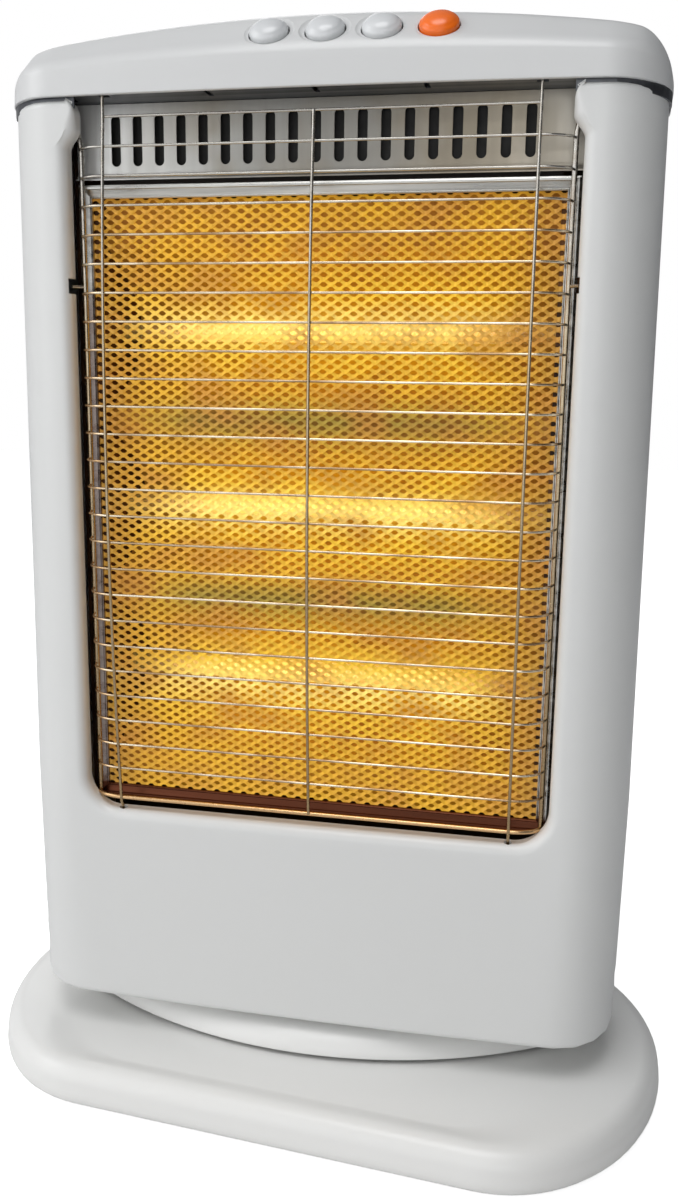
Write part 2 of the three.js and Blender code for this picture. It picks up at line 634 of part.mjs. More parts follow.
function buildDrive() {
  const motorBottom = FLOOR_PLATE.top + GAP;
  const motorTop = motorBottom + MOTOR.height;
  const can = rod(MOTOR.radius, motorBottom, motorTop);
  const ears = alongZ(obround(2 * MOTOR.earReach + MOTOR.ear * 2, MOTOR.ear * 2), motorBottom, motorBottom + 1.5)
    .rotate([0, 0, 90]);
  const shaftEnd = motorBottom + 6;
  const bore = rod(SHAFT_RADIUS + GAP, motorBottom - 1, shaftEnd + GAP, 16);
  const earHoles = [-1, 1].map((side) =>
    rod(SCREW_BORE, motorBottom - 1, motorBottom + 2, 10).translate([0, side * MOTOR.earReach, 0]));
  place('swivel_motor', cutAll(can.add(ears), [bore, ...earHoles]), materials.steel,
    { at: [MOTOR_OFFSET, 0, 0] });

  // crank at its angle for the rest position
  const web = alongZ(obround(CRANK_RADIUS + CRANK_WIDTH, CRANK_WIDTH, CRANK_RADIUS / 2, 0), crankBottom, crankTop);
  const shaft = rod(SHAFT_RADIUS, crankBottom + 1, shaftEnd, 16);
  const pin = rod(CRANK_PIN_RADIUS, armBottom + 0.2, crankBottom + 1, 12).translate([CRANK_RADIUS, 0, 0]);
  const crank = union([web, shaft, pin]);
  const mesh = place('motor_crank', crank, materials.darkPlastic, { at: [MOTOR_OFFSET, 0, 0] });
  mesh.rotation.z = rad(-crankRatio * BASE_TURN);
}

// ---------------------------------------------------------------- body shell

const bossPlaces = () => mirrored.flatMap(([side]) => SCREW_HEIGHTS.map((z) => [side * SCREW_X, z]));

const flangeFront = BRACKET_BACK_Y - BRACKET_SHEET; // front of the bracket flanges between the bosses

function buildFrontPanel() {
  const outer = roundedPrism(bodyPlan, BODY_BOTTOM, PILLAR_TOP, EDGE_ROUND, EDGE_ROUND);
  const inner = alongZ(bodyShape(WALL), BODY_BOTTOM - 1, PILLAR_TOP + 1);
  const wide = [-2 * BODY_HALF_WIDTH, 2 * BODY_HALF_WIDTH];
  const behindSeam = box(wide, [SEAM_Y, 2 * BACK_Y], [0, 2 * PILLAR_TOP]);
  const flangeBack = FRONT_Y + FLANGE_DEPTH;
  const flange = alongY(openingShape(FLANGE_WALL), 2 * FRONT_Y, flangeBack).intersect(outer);
  const posts = bossPlaces().map(([x, z]) =>
    turnToY(rod(BOSS_RADIUS, FRONT_Y, flangeFront - GAP, 12)).translate([x, 0, z]).intersect(
      box(wide, [FRONT_Y, BACK_Y], [0, PILLAR_TOP])));
  const bores = bossPlaces().map(([x, z]) =>
    turnToY(rod(SCREW_BORE, flangeFront - SCREW_REACH - 3, flangeFront + 1, 10)).translate([x, 0, z]));
  const skin = outer.subtract(inner).subtract(behindSeam);
  const trimmedPosts = union(posts).intersect(alongZ(bodyShape(WALL / 2), 0, PILLAR_TOP));
  const notches = [-1, 1].map((side) => box(
    [side * ROD_X - ROD_NOTCH.width / 2, side * ROD_X + ROD_NOTCH.width / 2],
    [2 * FRONT_Y, flangeBack + 1],
    [OPENING_BOTTOM - ROD_NOTCH.depth, OPENING_BOTTOM + 1],
  ));
  const hookSlots = [-1, 1].map((side) => {
    const inside = side * (OPENING_HALF_WIDTH - 1);
    const outside = side * (OPENING_HALF_WIDTH + FLANGE_WALL + 1);
    return box([Math.min(inside, outside), Math.max(inside, outside)],
      [flangeBack - HOOK_SLOT.depth, flangeBack + 1],
      [HOOK_SLOT.z - HOOK_SLOT.height / 2, HOOK_SLOT.z + HOOK_SLOT.height / 2]);
  });
  const opening = alongY(openingShape(), 2 * FRONT_Y, flangeBack + 1);
  const panel = cutAll(skin.add(flange), [opening, ...notches, ...hookSlots]);
  place('front_panel', cutAll(panel.add(trimmedPosts), bores), materials.shell);
}

function buildRearCover() {
  const outer = roundedPrism(bodyPlan, BODY_BOTTOM, REAR_TOP, EDGE_ROUND, EDGE_ROUND / 4);
  const inner = alongZ(bodyShape(WALL), BODY_BOTTOM - 1, REAR_TOP + 1);
  const wide = [-2 * BODY_HALF_WIDTH, 2 * BODY_HALF_WIDTH];
  const aheadOfSeam = box(wide, [2 * FRONT_Y, SEAM_Y + GAP], [0, 2 * REAR_TOP]);
  const grip = { x: [-GRIP.halfWidth, GRIP.halfWidth], z: [GRIP.bottom, GRIP.top] };
  const out = GRIP.wall;
  const pocketWall = box([grip.x[0] - out, grip.x[1] + out], [BACK_Y - GRIP.depth - out, BACK_Y - WALL / 2],
    [grip.z[0] - out, grip.z[1] + out]);
  const pocket = box(grip.x, [BACK_Y - GRIP.depth, BACK_Y + 1], grip.z);
  const bossFront = BRACKET_BACK_Y + GAP;
  const posts = bossPlaces().map(([x, z]) =>
    turnToY(rod(BOSS_RADIUS, bossFront, BACK_Y, 12)).translate([x, 0, z]));
  const trimmedPosts = union(posts).intersect(alongZ(bodyShape(WALL / 2), 0, REAR_TOP));
  const bores = bossPlaces().map(([x, z]) =>
    turnToY(rod(SCREW_BORE, bossFront - 1, BACK_Y + 1, 10)).translate([x, 0, z]));
  const sinks = bossPlaces().map(([x, z]) =>
    turnToY(rod(SCREW_HEAD_RADIUS + GAP, screwSeat(), BACK_Y + 1, 12)).translate([x, 0, z]));
  const vents = VENT_FIELDS.flatMap(({ z, rows }) => Array.from({ length: rows }, (_, row) =>
    [-1, 1].map((side) => alongY(obround(VENT.length, VENT.height, side * VENT.x, z + row * VENT.pitch),
      BACK_Y - WALL - 1, BACK_Y + 1, 2)))).flat();
  const glandHole = turnToY(rod(GLAND.radius + GAP, BACK_Y - WALL - 1, BACK_Y + 1))
    .translate([GLAND.x, 0, GLAND.z]);
  const skin = outer.subtract(inner).subtract(aheadOfSeam);
  const body = union([skin, pocketWall, trimmedPosts]);
  place('rear_cover', cutAll(body, [pocket, ...bores, ...sinks, ...vents, glandHole]), materials.shell);
}

// depth at which the heads of the body screws lie, in the round back corners
function screwSeat() {
  return bodyDepth(SCREW_X, 0).rear - SCREW_SINK;
}

function buildBodyScrews() {
  const seat = screwSeat();
  const tip = flangeFront - SCREW_REACH;
  const screw = turned([[0, tip], [SCREW_RADIUS, tip + 1], [SCREW_RADIUS, seat + GAP],
    [SCREW_HEAD_RADIUS, seat + GAP], [SCREW_HEAD_RADIUS, seat + GAP + SCREW_HEAD / 2],
    [SCREW_HEAD_RADIUS * 0.6, seat + GAP + SCREW_HEAD], [0, seat + GAP + SCREW_HEAD]], 8);
  bossPlaces().forEach(([x, z], k) => {
    place(`rear_screw_${k + 1}`, turnToY(screw), materials.darkSteel, { at: [x, 0, z] });
  });
}

function buildGland() {
  const { radius, bore, flange, flangeThickness } = GLAND;
  const [inside, outside] = [BACK_Y - WALL - GAP, BACK_Y + GAP];
  const body = turned([
    [bore, inside - 5], [radius + 1.2, inside - 5], [radius + 1.2, inside], [radius, inside],
    [radius, outside], [flange, outside], [flange - 0.8, outside + flangeThickness],
    [bore, outside + flangeThickness], [bore, inside - 5],
  ], 12);
  place('cord_gland', turnToY(body), materials.darkPlastic, { at: [GLAND.x, 0, GLAND.z] });
}

// bottom moulding: a floor plate inside the shell with the lens-shaped neck under it
function buildBottomCover() {
  const steps = 4;
  const necks = (wall) => {
    const rings = [];
    for (let k = 0; k <= steps; k += 1) {
      const angle = (k / steps) * Math.PI / 2;
      const height = NECK_BOTTOM + (NECK_TOP - NECK_BOTTOM - wall) * Math.sin(angle);
      rings.push(byHeight(neckPlan(wall + NECK_ROUND * (1 - Math.cos(angle))), height));
    }
    return rings;
  };
  const outside = necks(0);
  outside.push(byHeight(neckPlan(NECK_ROUND), FLOOR_PLATE.bottom + 0.5));
  const inside = necks(NECK_WALL);
  inside.unshift(byHeight(neckPlan(NECK_WALL), NECK_BOTTOM - 1));
  const plate = alongZ(bodyShape(WALL + GAP), FLOOR_PLATE.bottom, FLOOR_PLATE.top);
  const hub = rod(HUB_RADIUS, armTop + GAP, FLOOR_PLATE.bottom + 1);
  const cover = union([loft(outside).subtract(loft(inside)), plate, hub]);
  const pivotBore = rod(PIVOT_RADIUS + GAP, 0, FLOOR_PLATE.top + 1);
  const shaftHole = rod(SHAFT_RADIUS + 1, 0, FLOOR_PLATE.top + 1, 16).translate([MOTOR_OFFSET, 0, 0]);
  place('bottom_cover', cutAll(cover, [pivotBore, shaftHole]), materials.shell);
}

// ---------------------------------------------------------------- top cover and console

// side view of the cover at mid width: steep fascia, soft crease, sloping face, flat crest, round back
function coverProfile() {
  const front = FRONT_Y - COVER_OVERHANG;
  const rear = BACK_Y + COVER_OVERHANG;
  const path = new THREE.Path();
  path.moveTo(front, 0);
  path.lineTo(front + FASCIA.lean, FASCIA.h);
  path.quadraticCurveTo(front + CREASE.lean, CREASE.h, FACE_LOW.y, FACE_LOW.h);
  path.lineTo(FACE_HIGH.y, FACE_HIGH.h);
  path.quadraticCurveTo(FACE_HIGH.y + 6.8, SHOULDER_H, CROWN.front, COVER_HEIGHT);
  path.lineTo(CROWN.rear, COVER_HEIGHT);
  path.quadraticCurveTo(rear - TAIL.lean, COVER_HEIGHT - 1, rear, TAIL.h);
  path.lineTo(rear, 0);
  return path.getPoints(3).map(({ x, y }) => ({
    along: (x - front) / (rear - front),
    height: y / COVER_HEIGHT,
  }));
}

// height of the crest over the cover's edge at x
function crestHeight(x, wall) {
  const end = BODY_HALF_WIDTH + COVER_OVERHANG;
  const past = Math.max(0, Math.abs(x) - (end - COVER_END_RADIUS)) / (COVER_END_RADIUS - wall);
  const drop = COVER_END_DROP * (1 - Math.sqrt(Math.max(0, 1 - past ** 2)));
  return COVER_HEIGHT - wall - COVER_ARCH * (x / COVER_ARCH_AT) ** 2 - drop;
}

function coverSolid(wall, foot) {
  const profile = coverProfile();
  const end = BODY_HALF_WIDTH + COVER_OVERHANG - wall;
  const stations = 18;
  const rings = [];
  for (let k = 0; k <= stations; k += 1) {
    const x = -end * Math.cos((k / stations) * Math.PI);
    const { front, rear } = bodyDepth(x, wall - COVER_OVERHANG);
    const crest = crestHeight(x, wall);
    rings.push(profile.map(({ along, height }) => new THREE.Vector3(
      x,
      front + along * (rear - front),
      COVER_EDGE + (height === 0 ? -foot : height * crest),
    )).reverse());
  }
  return loft(rings);
}

// a solid drawn on the console, moved to where the console stands
function onConsole(body, x) {
  return body.rotate([FACE_TILT, 0, 0]).translate([BUTTON_ROW_X + x, face.y, face.z]);
}

const buttonPlaces = Array.from({ length: BUTTON_COUNT }, (_, k) => (k - (BUTTON_COUNT - 1) / 2) * BUTTON_PITCH);

function buildTopCover() {
  const shell = coverSolid(0, 0).subtract(coverSolid(COVER_WALL, 1));
  const hole = BUTTON_RADIUS + BUTTON_HOLE_GAP;
  const cutter = turned([[0, -3 * COVER_WALL], [hole, -3 * COVER_WALL], [hole, -DISH_DEPTH],
    [hole + DISH_MARGIN, 0], [hole + DISH_MARGIN + 1, 3], [0, 3]], 16);
  place('top_cover', cutAll(shell, buttonPlaces.map((x) => onConsole(cutter, x))), materials.shell);
}

// plate under the cover, its edge turned down to close the gap over each pillar
function buildTopShelf() {
  const inset = COVER_WALL - COVER_OVERHANG + SHELF_MARGIN;
  const [z0, z1] = [SHELF_BOTTOM, SHELF_BOTTOM + SHELF_THICKNESS];
  const plate = alongZ(bodyShape(inset), z0, z1);
  const slot = (x, width, depth) => box([x - width / 2, x + width / 2],
    [GUARD_EDGE_Y - ROD_RADIUS - 0.6, GUARD_EDGE_Y + depth], [z0 - 1, z1 + 1]);
  const vents = [-1, 0, 1].map((k) => slot(k * ROD_X / 2, 2.4, 8));
  const rodSlots = [-1, 1].map((side) => slot(side * ROD_X, 2 * ROD_RADIUS + 3, 4));
  const sideSlots = [-1, 1].map((side) => box(
    [side * SIDE_ROD_TIP_X - 2.6, side * SIDE_ROD_TIP_X + 2.6],
    [SIDE_ROD_Y - 2.6, SIDE_ROD_Y + 2.6], [z0 - 1, z1 + 1]));
  const pillarInside = OPENING_HALF_WIDTH - EAR_REACH;
  const skirtBottom = PILLAR_TOP + GAP;
  const skirts = mirrored.map(([side]) => {
    const across = side > 0 ? [pillarInside, BODY_HALF_WIDTH] : [-BODY_HALF_WIDTH, -pillarInside];
    return alongZ(bodyShape(inset), skirtBottom, z1)
      .subtract(alongZ(bodyShape(inset + SHELF_THICKNESS), skirtBottom - 1, z1 + 1))
      .intersect(box(across, [2 * FRONT_Y, SEAM_Y], [skirtBottom - 1, z1]));
  });
  const shelf = union([plate, ...skirts]);
  place('top_shelf', cutAll(shelf, [...vents, ...rodSlots, ...sideSlots]), materials.darkSteel);
}

// a point of the console's own (slope, normal) plane in the YZ plane of the part
function consolePoint(slope, normal) {
  const [c, s] = [Math.cos(rad(FACE_TILT)), Math.sin(rad(FACE_TILT))];
  return [face.y + slope * c - normal * s, face.z + slope * s + normal * c];
}

function buildConsole() {
  const flangeOut = BUTTON_RADIUS + BUTTON_FLANGE;
  const dome = [0, 28, 59, 90].map(rad).map((angle) =>
    [BUTTON_RADIUS * Math.cos(angle), BUTTON_DOME * Math.sin(angle)]);
  const button = turned([
    [0, -STEM_END], [STEM_RADIUS, -STEM_END], [STEM_RADIUS, -BUTTON_FLANGE_AT - 1.5],
    [flangeOut, -BUTTON_FLANGE_AT - 1.5], [flangeOut, -BUTTON_FLANGE_AT],
    [BUTTON_RADIUS, -BUTTON_FLANGE_AT], ...dome,
  ], 16);
  const switchTop = -SWITCH.top;
  const switchBottom = switchTop - SWITCH.height;
  const housing = box([-SWITCH.width / 2, SWITCH.width / 2], [-SWITCH.depth / 2, SWITCH.depth / 2],
    [switchBottom, switchTop]);
  const bore = rod(STEM_RADIUS + GAP, -STEM_END - BUTTON_TRAVEL - 1, switchTop + 1, 16);
  buttonPlaces.forEach((x, k) => {
    const last = k === BUTTON_COUNT - 1;
    place(`button_${k + 1}`, button, last ? materials.buttonOrange : materials.buttonWhite,
      { parent: consoleGroup, at: [x, 0, 0] });
    place(`switch_${k + 1}`, housing.subtract(bore), materials.darkPlastic,
      { parent: consoleGroup, at: [x, 0, 0] });
  });

  // bent strip under the switches, standing on the shelf
  const plateTop = switchBottom - GAP;
  const half = SWITCH.depth / 2 + 2;
  const [ax, az] = consolePoint(-half, plateTop);
  const [bx, bz] = consolePoint(half, plateTop);
  const [cx, cz] = consolePoint(-half, plateTop - BRACKET_THICKNESS);
  const [dx, dz] = consolePoint(half - BRACKET_THICKNESS, plateTop - BRACKET_THICKNESS);
  const foot = SHELF_BOTTOM + SHELF_THICKNESS + GAP;
  const strip = polygon([[ax, az], [cx, cz], [dx, dz], [dx, foot], [bx, foot], [bx, bz]]);
  const reach = ((BUTTON_COUNT - 1) * BUTTON_PITCH + SWITCH.width) / 2 + 4;
  place('switch_bracket', alongX(strip, BUTTON_ROW_X - reach, BUTTON_ROW_X + reach), materials.steel);

  const { width, depth, thickness } = CUTOUT.plate;
  const can = rod(CUTOUT.radius, foot + thickness / 2, foot + CUTOUT.height);
  const ears = alongZ(obround(width, depth), foot, foot + thickness);
  place('thermal_cutout', can.add(ears), materials.darkPlastic, { at: [CUTOUT.x, 0, 0] });
}

// ---------------------------------------------------------------- wire guard

// front plane of the guard at height z
function guardY(z) {
  const [top, bottom] = [TOP_WIRE, GUARD_LOW];
  const across = (2 * z - top - bottom) / (top - bottom);
  return GUARD_EDGE_Y - GUARD_BULGE * Math.max(0, 1 - across ** 2);
}

function crossWire(z, radius) {
  const front = guardY(z);
  const bend = SIDE_ROD_X - ROD_X;
  const half = [];
  for (const angle of [0, 45, 90]) { // quarter of an ellipse from the side rod round to the front
    half.push([
      SIDE_ROD_X - bend * (1 - Math.cos(rad(angle))),
      SIDE_ROD_Y - (SIDE_ROD_Y - front) * Math.sin(rad(angle)),
    ]);
  }
  const left = half.map(([x, y]) => new THREE.Vector3(-x, y, z));
  const right = half.map(([x, y]) => new THREE.Vector3(x, y, z)).reverse();
  return wire([...left, ...right], radius, new THREE.Vector3(0, 0, 1));
}

function uprightRod(x, z0, z1, radius, steps) {
  const points = [];
  for (let k = 0; k <= steps; k += 1) {
    const z = z0 + (z1 - z0) * (k / steps);
    points.push(new THREE.Vector3(x, guardY(z) - radius, z));
  }
  return wire(points, radius, new THREE.Vector3(1, 0, 0), 5);
}

function buildGuard() {
  const tip = SHELF_BOTTOM + 0.6;
  const pieces = [wire([
    new THREE.Vector3(-ROD_X, guardY(TOP_WIRE), TOP_WIRE),
    new THREE.Vector3(ROD_X, guardY(TOP_WIRE), TOP_WIRE),
  ], WIRE_RADIUS, new THREE.Vector3(0, 0, 1))];
  for (let k = 1; k < WIRE_COUNT; k += 1) pieces.push(crossWire(TOP_WIRE - k * WIRE_PITCH, WIRE_RADIUS));
  pieces.push(crossWire(GUARD_LOW, BAR_RADIUS));
  const notchEnd = OPENING_BOTTOM - ROD_NOTCH.depth + 1.5;
  for (const side of [-1, 0, 1]) {
    const [z0, z1] = side === 0 ? [GUARD_LOW, TOP_WIRE] : [notchEnd, tip];
    pieces.push(uprightRod(side * ROD_X, z0, z1, ROD_RADIUS, 6));
  }
  for (const side of [-1, 1]) {
    const at = (x, z) => new THREE.Vector3(side * x, SIDE_ROD_Y, z);
    const points = [at(SIDE_ROD_X, GUARD_LOW), at(SIDE_ROD_X, EAR_BOTTOM), at(SIDE_ROD_TIP_X, PILLAR_TOP),
      at(SIDE_ROD_TIP_X, tip)];
    pieces.push(wire(points, SIDE_ROD_RADIUS, new THREE.Vector3(0, 1, 0), 5));
    const hookEnd = OPENING_HALF_WIDTH + FLANGE_WALL + 2;
    pieces.push(wire([
      new THREE.Vector3(side * SIDE_ROD_X, SIDE_ROD_Y, HOOK_SLOT.z),
      new THREE.Vector3(side * hookEnd, SIDE_ROD_Y - HOOK_SLOT.depth + 1.2, HOOK_SLOT.z),
    ], ROD_RADIUS, new THREE.Vector3(0, 0, 1)));
  }
  place('guard_grille', union(pieces), materials.chrome);
}

// ---------------------------------------------------------------- net, frame, louvers

function rectangle(half, bottom, top) {
  return polygon([[-half, bottom], [half, bottom], [half, top], [-half, top]]);
}

const netY = FRAME_Y + FRAME_DEPTH + GAP;
const chassisY = netY + NET_THICKNESS + GAP; // front faces of the sheets behind the net

function buildNet() {
  const shape = rectangle(NET_HALF_WIDTH, NET_BOTTOM, NET_TOP);
  const half = FRAME_HALF_WIDTH - FRAME_STRIP;
  const [low, high] = [FRAME_BOTTOM + FRAME_STRIP, FRAME_TOP - FRAME_STRIP];
  const column = 2 * half / NET_COLUMNS;
  const row = (high - low) / (NET_ROWS + 1);
  const reach = { x: column / 2 - NET_STRAND, z: row - NET_STRAND };
  for (let k = 0; k < NET_ROWS; k += 1) {
    const odd = k % 2;
    for (let c = 0; c < NET_COLUMNS - odd; c += 1) {
      const x = -half + (c + (odd ? 1 : 0.5)) * column;
      const z = low + (k + 1) * row;
      shape.holes.push(new THREE.Path([
        new THREE.Vector2(x - reach.x, z), new THREE.Vector2(x, z + reach.z),
        new THREE.Vector2(x + reach.x, z), new THREE.Vector2(x, z - reach.z),
      ]));
    }
  }
  place('mesh_net', alongY(shape, netY, netY + NET_THICKNESS), materials.gold);
}

// bevelled strip with mitred corners, sloping back towards the net
function buildFrame() {
  const ring = (half, bottom, top, y) => [[-half, bottom], [half, bottom], [half, top], [-half, top]]
    .map(([x, z]) => new THREE.Vector3(x, y, z));
  const grown = (edge, y) => ring(FRAME_HALF_WIDTH + edge, FRAME_BOTTOM - edge, FRAME_TOP + edge, y);
  const back = FRAME_Y + FRAME_DEPTH;
  const outer = loft([grown(0, back), grown(0, FRAME_Y + 1), grown(-1, FRAME_Y)]);
  const inner = loft([grown(-FRAME_STRIP, back + 1), grown(-FRAME_STRIP, back - 1), grown(-2, FRAME_Y - 1)]);
  place('mesh_frame', outer.subtract(inner), materials.steel);
}

function buildLouver() {
  const half = BRACKET_X - GAP;
  const shelf = SHELF_BOTTOM - GAP;
  const shape = rectangle(half, LOUVER_BOTTOM, shelf);
  const length = LOUVER_SLOT_TOP - LOUVER_SLOT_BOTTOM;
  for (let k = 0; k < LOUVER_COUNT; k += 1) {
    const x = (k - (LOUVER_COUNT - 1) / 2) * LOUVER_PITCH;
    const [r, reach] = [LOUVER_SLOT_WIDTH / 2, (length - LOUVER_SLOT_WIDTH) / 2];
    const z = (LOUVER_SLOT_TOP + LOUVER_SLOT_BOTTOM) / 2;
    const hole = new THREE.Path();
    hole.absarc(x, z + reach, r, 0, Math.PI, false);
    hole.absarc(x, z - reach, r, Math.PI, 2 * Math.PI, false);
    shape.holes.push(hole);
  }
  const plate = alongY(shape, chassisY, chassisY + SHEET, 2);
  const lip = box([-half, half], [chassisY - LOUVER_LIP, chassisY + SHEET], [LOUVER_BOTTOM, LOUVER_BOTTOM + SHEET]);
  place('louver_plate', plate.add(lip), materials.steel);
}

// ---------------------------------------------------------------- reflector, lamps and their brackets

const lampHeights = Array.from({ length: LAMP_COUNT }, (_, k) =>
  LAMP_MIDDLE + ((LAMP_COUNT - 1) / 2 - k) * LAMP_PITCH);

function buildReflector() {
  const half = LAMP_PITCH / 2 - RIDGE_HALF;
  const line = [[RIDGE_Y, REFLECTOR_TOP]];
  for (const middle of lampHeights) {
    for (let k = -4; k <= 4; k += 1) { // parabolic trough round each lamp
      const across = k / 4;
      line.push([TROUGH_BACK_Y - (TROUGH_BACK_Y - RIDGE_Y) * across ** 2, middle - across * half]);
    }
  }
  line.push([RIDGE_Y, REFLECTOR_BOTTOM]);
  const back = line.map(([y, z]) => [y + SHEET, z]).reverse();
  place('reflector', alongX(polygon([...line, ...back]), -REFLECTOR_HALF_WIDTH, REFLECTOR_HALF_WIDTH),
    materials.gold);

  const tubeHoles = (radius, x0, x1) => lampHeights.map((z) =>
    turnToX(rod(radius, x0, x1, 10)).translate([0, LAMP_Y, z]));
  mirrored.forEach(([side, name]) => {
    const span = (near, far) => (side > 0 ? [near, far] : [-far, -near]);
    const [plateNear, plateFar] = [END_PLATE_X, END_PLATE_X + END_PLATE];
    const web = box(span(plateNear, plateFar), [chassisY, TROUGH_BACK_Y + SHEET],
      [REFLECTOR_BOTTOM, REFLECTOR_TOP]);
    const lip = box(span(plateNear, BRACKET_X - GAP), [chassisY, chassisY + END_PLATE],
      [REFLECTOR_BOTTOM, REFLECTOR_TOP]);
    const clear = TUBE_RADIUS + 0.7;
    place(`reflector_end_${name}`, cutAll(web.add(lip), tubeHoles(clear, ...span(plateNear - 1, plateFar + 1))),
      materials.steel);

    const bracketWeb = box(span(BRACKET_X, BRACKET_X + BRACKET_SHEET), [chassisY, BRACKET_BACK_Y],
      [FRAME_BOTTOM, SHELF_BOTTOM - GAP]);
    const flange = box(span(BRACKET_X, BRACKET_FLANGE_X), [flangeFront, BRACKET_BACK_Y],
      [FRAME_BOTTOM, SHELF_BOTTOM - GAP]);
    const screwHoles = SCREW_HEIGHTS.map((z) =>
      turnToY(rod(SCREW_BORE, flangeFront - 1, BRACKET_BACK_Y + 1, 10)).translate([side * SCREW_X, 0, z]));
    const capHoles = tubeHoles(CAP_RADIUS + GAP, ...span(BRACKET_X - 1, BRACKET_X + BRACKET_SHEET + 1));
    place(`lamp_bracket_${name}`, cutAll(bracketWeb.add(flange), [...capHoles, ...screwHoles]),
      materials.darkSteel);
  });

  const shieldFront = BRACKET_BACK_Y + GAP;
  place('heat_shield', box([-SHIELD_HALF_WIDTH, SHIELD_HALF_WIDTH], [shieldFront, shieldFront + SHEET],
    [FRAME_BOTTOM, FRAME_TOP]), materials.steel);
}

function buildLamps() {
  const inner = TUBE_RADIUS - TUBE_WALL;
  const filamentHalf = TUBE_HALF_LENGTH + 2;
  const tube = turnToX(sleeve(TUBE_RADIUS, inner, -TUBE_HALF_LENGTH, TUBE_HALF_LENGTH, 10));
  const filament = turnToX(rod(FILAMENT_RADIUS, -filamentHalf, filamentHalf, 8));
  const seat = TUBE_HALF_LENGTH + GAP;
  const filamentSeat = filamentHalf + GAP;
  const cap = turnToX(turned([
    [TUBE_RADIUS + GAP, CAP_START], [CAP_RADIUS, CAP_START], [CAP_RADIUS, CAP_END - 2],
    [CAP_RADIUS - 2, CAP_END], [0, CAP_END], [0, filamentSeat], [FILAMENT_RADIUS + GAP, filamentSeat],
    [FILAMENT_RADIUS + GAP, seat], [TUBE_RADIUS + GAP, seat], [TUBE_RADIUS + GAP, CAP_START],
  ], 10));
  lampHeights.forEach((z, k) => {
    const at = [0, LAMP_Y, z];
    place(`lamp_tube_${k + 1}`, tube, materials.quartz, { at });
    place(`lamp_filament_${k + 1}`, filament, materials.filament, { at });
    place(`lamp_cap_${k + 1}_right`, cap, materials.ceramic, { at });
    place(`lamp_cap_${k + 1}_left`, cap.mirror([1, 0, 0]), materials.ceramic, { at });
  });
}

function buildTerminalBlock() {
  const { halfWidth, halfDepth, height, wellPitch, well, y } = TERMINAL;
  const bottom = FLOOR_PLATE.top + GAP;
  const top = bottom + height;
  const block = box([-halfWidth, halfWidth], [-halfDepth, halfDepth], [bottom, top]);
  const wells = [-1, 0, 1].map((k) => rod(well, top - height / 2, top + 1, 10).translate([k * wellPitch, 0, 0]));
  place('terminal_block', cutAll(block, wells), materials.ceramic, { at: [GLAND.x, y, 0] });
}

buildBase();
buildDrive();
buildFrontPanel();
buildRearCover();
buildBodyScrews();
buildGland();
buildBottomCover();
buildTopCover();
buildTopShelf();
buildConsole();
buildGuard();
buildNet();
buildFrame();
buildLouver();
buildReflector();
buildLamps();
buildTerminalBlock();

export default group;
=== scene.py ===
"""Oscillating halogen heater: gloss shells, plated wire guard, expanded-metal net and glowing lamps.

Metres, in the frame's own axes: +Z up, the front looks along -Y, the origin on the floor on the turning axis.
"""

import json
from math import acos, atan2, copysign, cos, dist, pi, radians, sin, sqrt

import bmesh
import bpy
from mathutils import Matrix, Vector


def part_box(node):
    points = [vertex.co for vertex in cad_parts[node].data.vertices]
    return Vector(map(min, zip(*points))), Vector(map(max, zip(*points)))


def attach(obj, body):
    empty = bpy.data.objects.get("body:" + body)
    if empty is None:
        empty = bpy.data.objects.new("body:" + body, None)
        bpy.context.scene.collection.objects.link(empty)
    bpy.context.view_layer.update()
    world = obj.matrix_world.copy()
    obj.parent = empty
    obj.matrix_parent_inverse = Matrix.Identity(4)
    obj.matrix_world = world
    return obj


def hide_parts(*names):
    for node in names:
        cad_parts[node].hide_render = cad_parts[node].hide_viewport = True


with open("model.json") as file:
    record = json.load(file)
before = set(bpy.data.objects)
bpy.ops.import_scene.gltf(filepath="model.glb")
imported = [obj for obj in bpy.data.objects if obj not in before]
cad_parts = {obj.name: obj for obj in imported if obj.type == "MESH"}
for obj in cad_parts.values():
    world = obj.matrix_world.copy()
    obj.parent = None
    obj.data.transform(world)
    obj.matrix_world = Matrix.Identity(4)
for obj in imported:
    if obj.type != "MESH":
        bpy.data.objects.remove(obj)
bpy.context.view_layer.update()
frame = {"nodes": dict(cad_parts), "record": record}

MM = 0.001
SIDES = (-1, 1)  # left, right


def mm(*values):
    return tuple(value * MM for value in values)


# ---- sizes

body_low, body_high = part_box("front_panel")
rear_low, rear_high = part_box("rear_cover")
cover_low, cover_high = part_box("top_cover")
net_low, net_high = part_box("mesh_net")
rim_low, rim_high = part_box("mesh_frame")
louver_low, louver_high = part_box("louver_plate")
reflector_low, reflector_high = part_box("reflector")
GUARD_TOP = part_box("guard_grille")[1].z
LAMP_HEIGHTS = [sum(corner.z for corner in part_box(f"lamp_tube_{k}")) / 2 for k in (1, 2, 3)]

# plan of the body
HALF_WIDTH = body_high.x
FRONT_Y = body_low.y
BACK_Y = rear_high.y
SEAM_Y = 8 * MM
BOW = 2.5 * MM
FRONT_CORNER = mm(33, 36.7)
BACK_CORNER = 36 * MM
SEAM_GAP, SEAM_ROUND = mm(0.3, 0.7)
WALL = 2.4 * MM
EDGE_ROUND = 3.4 * MM

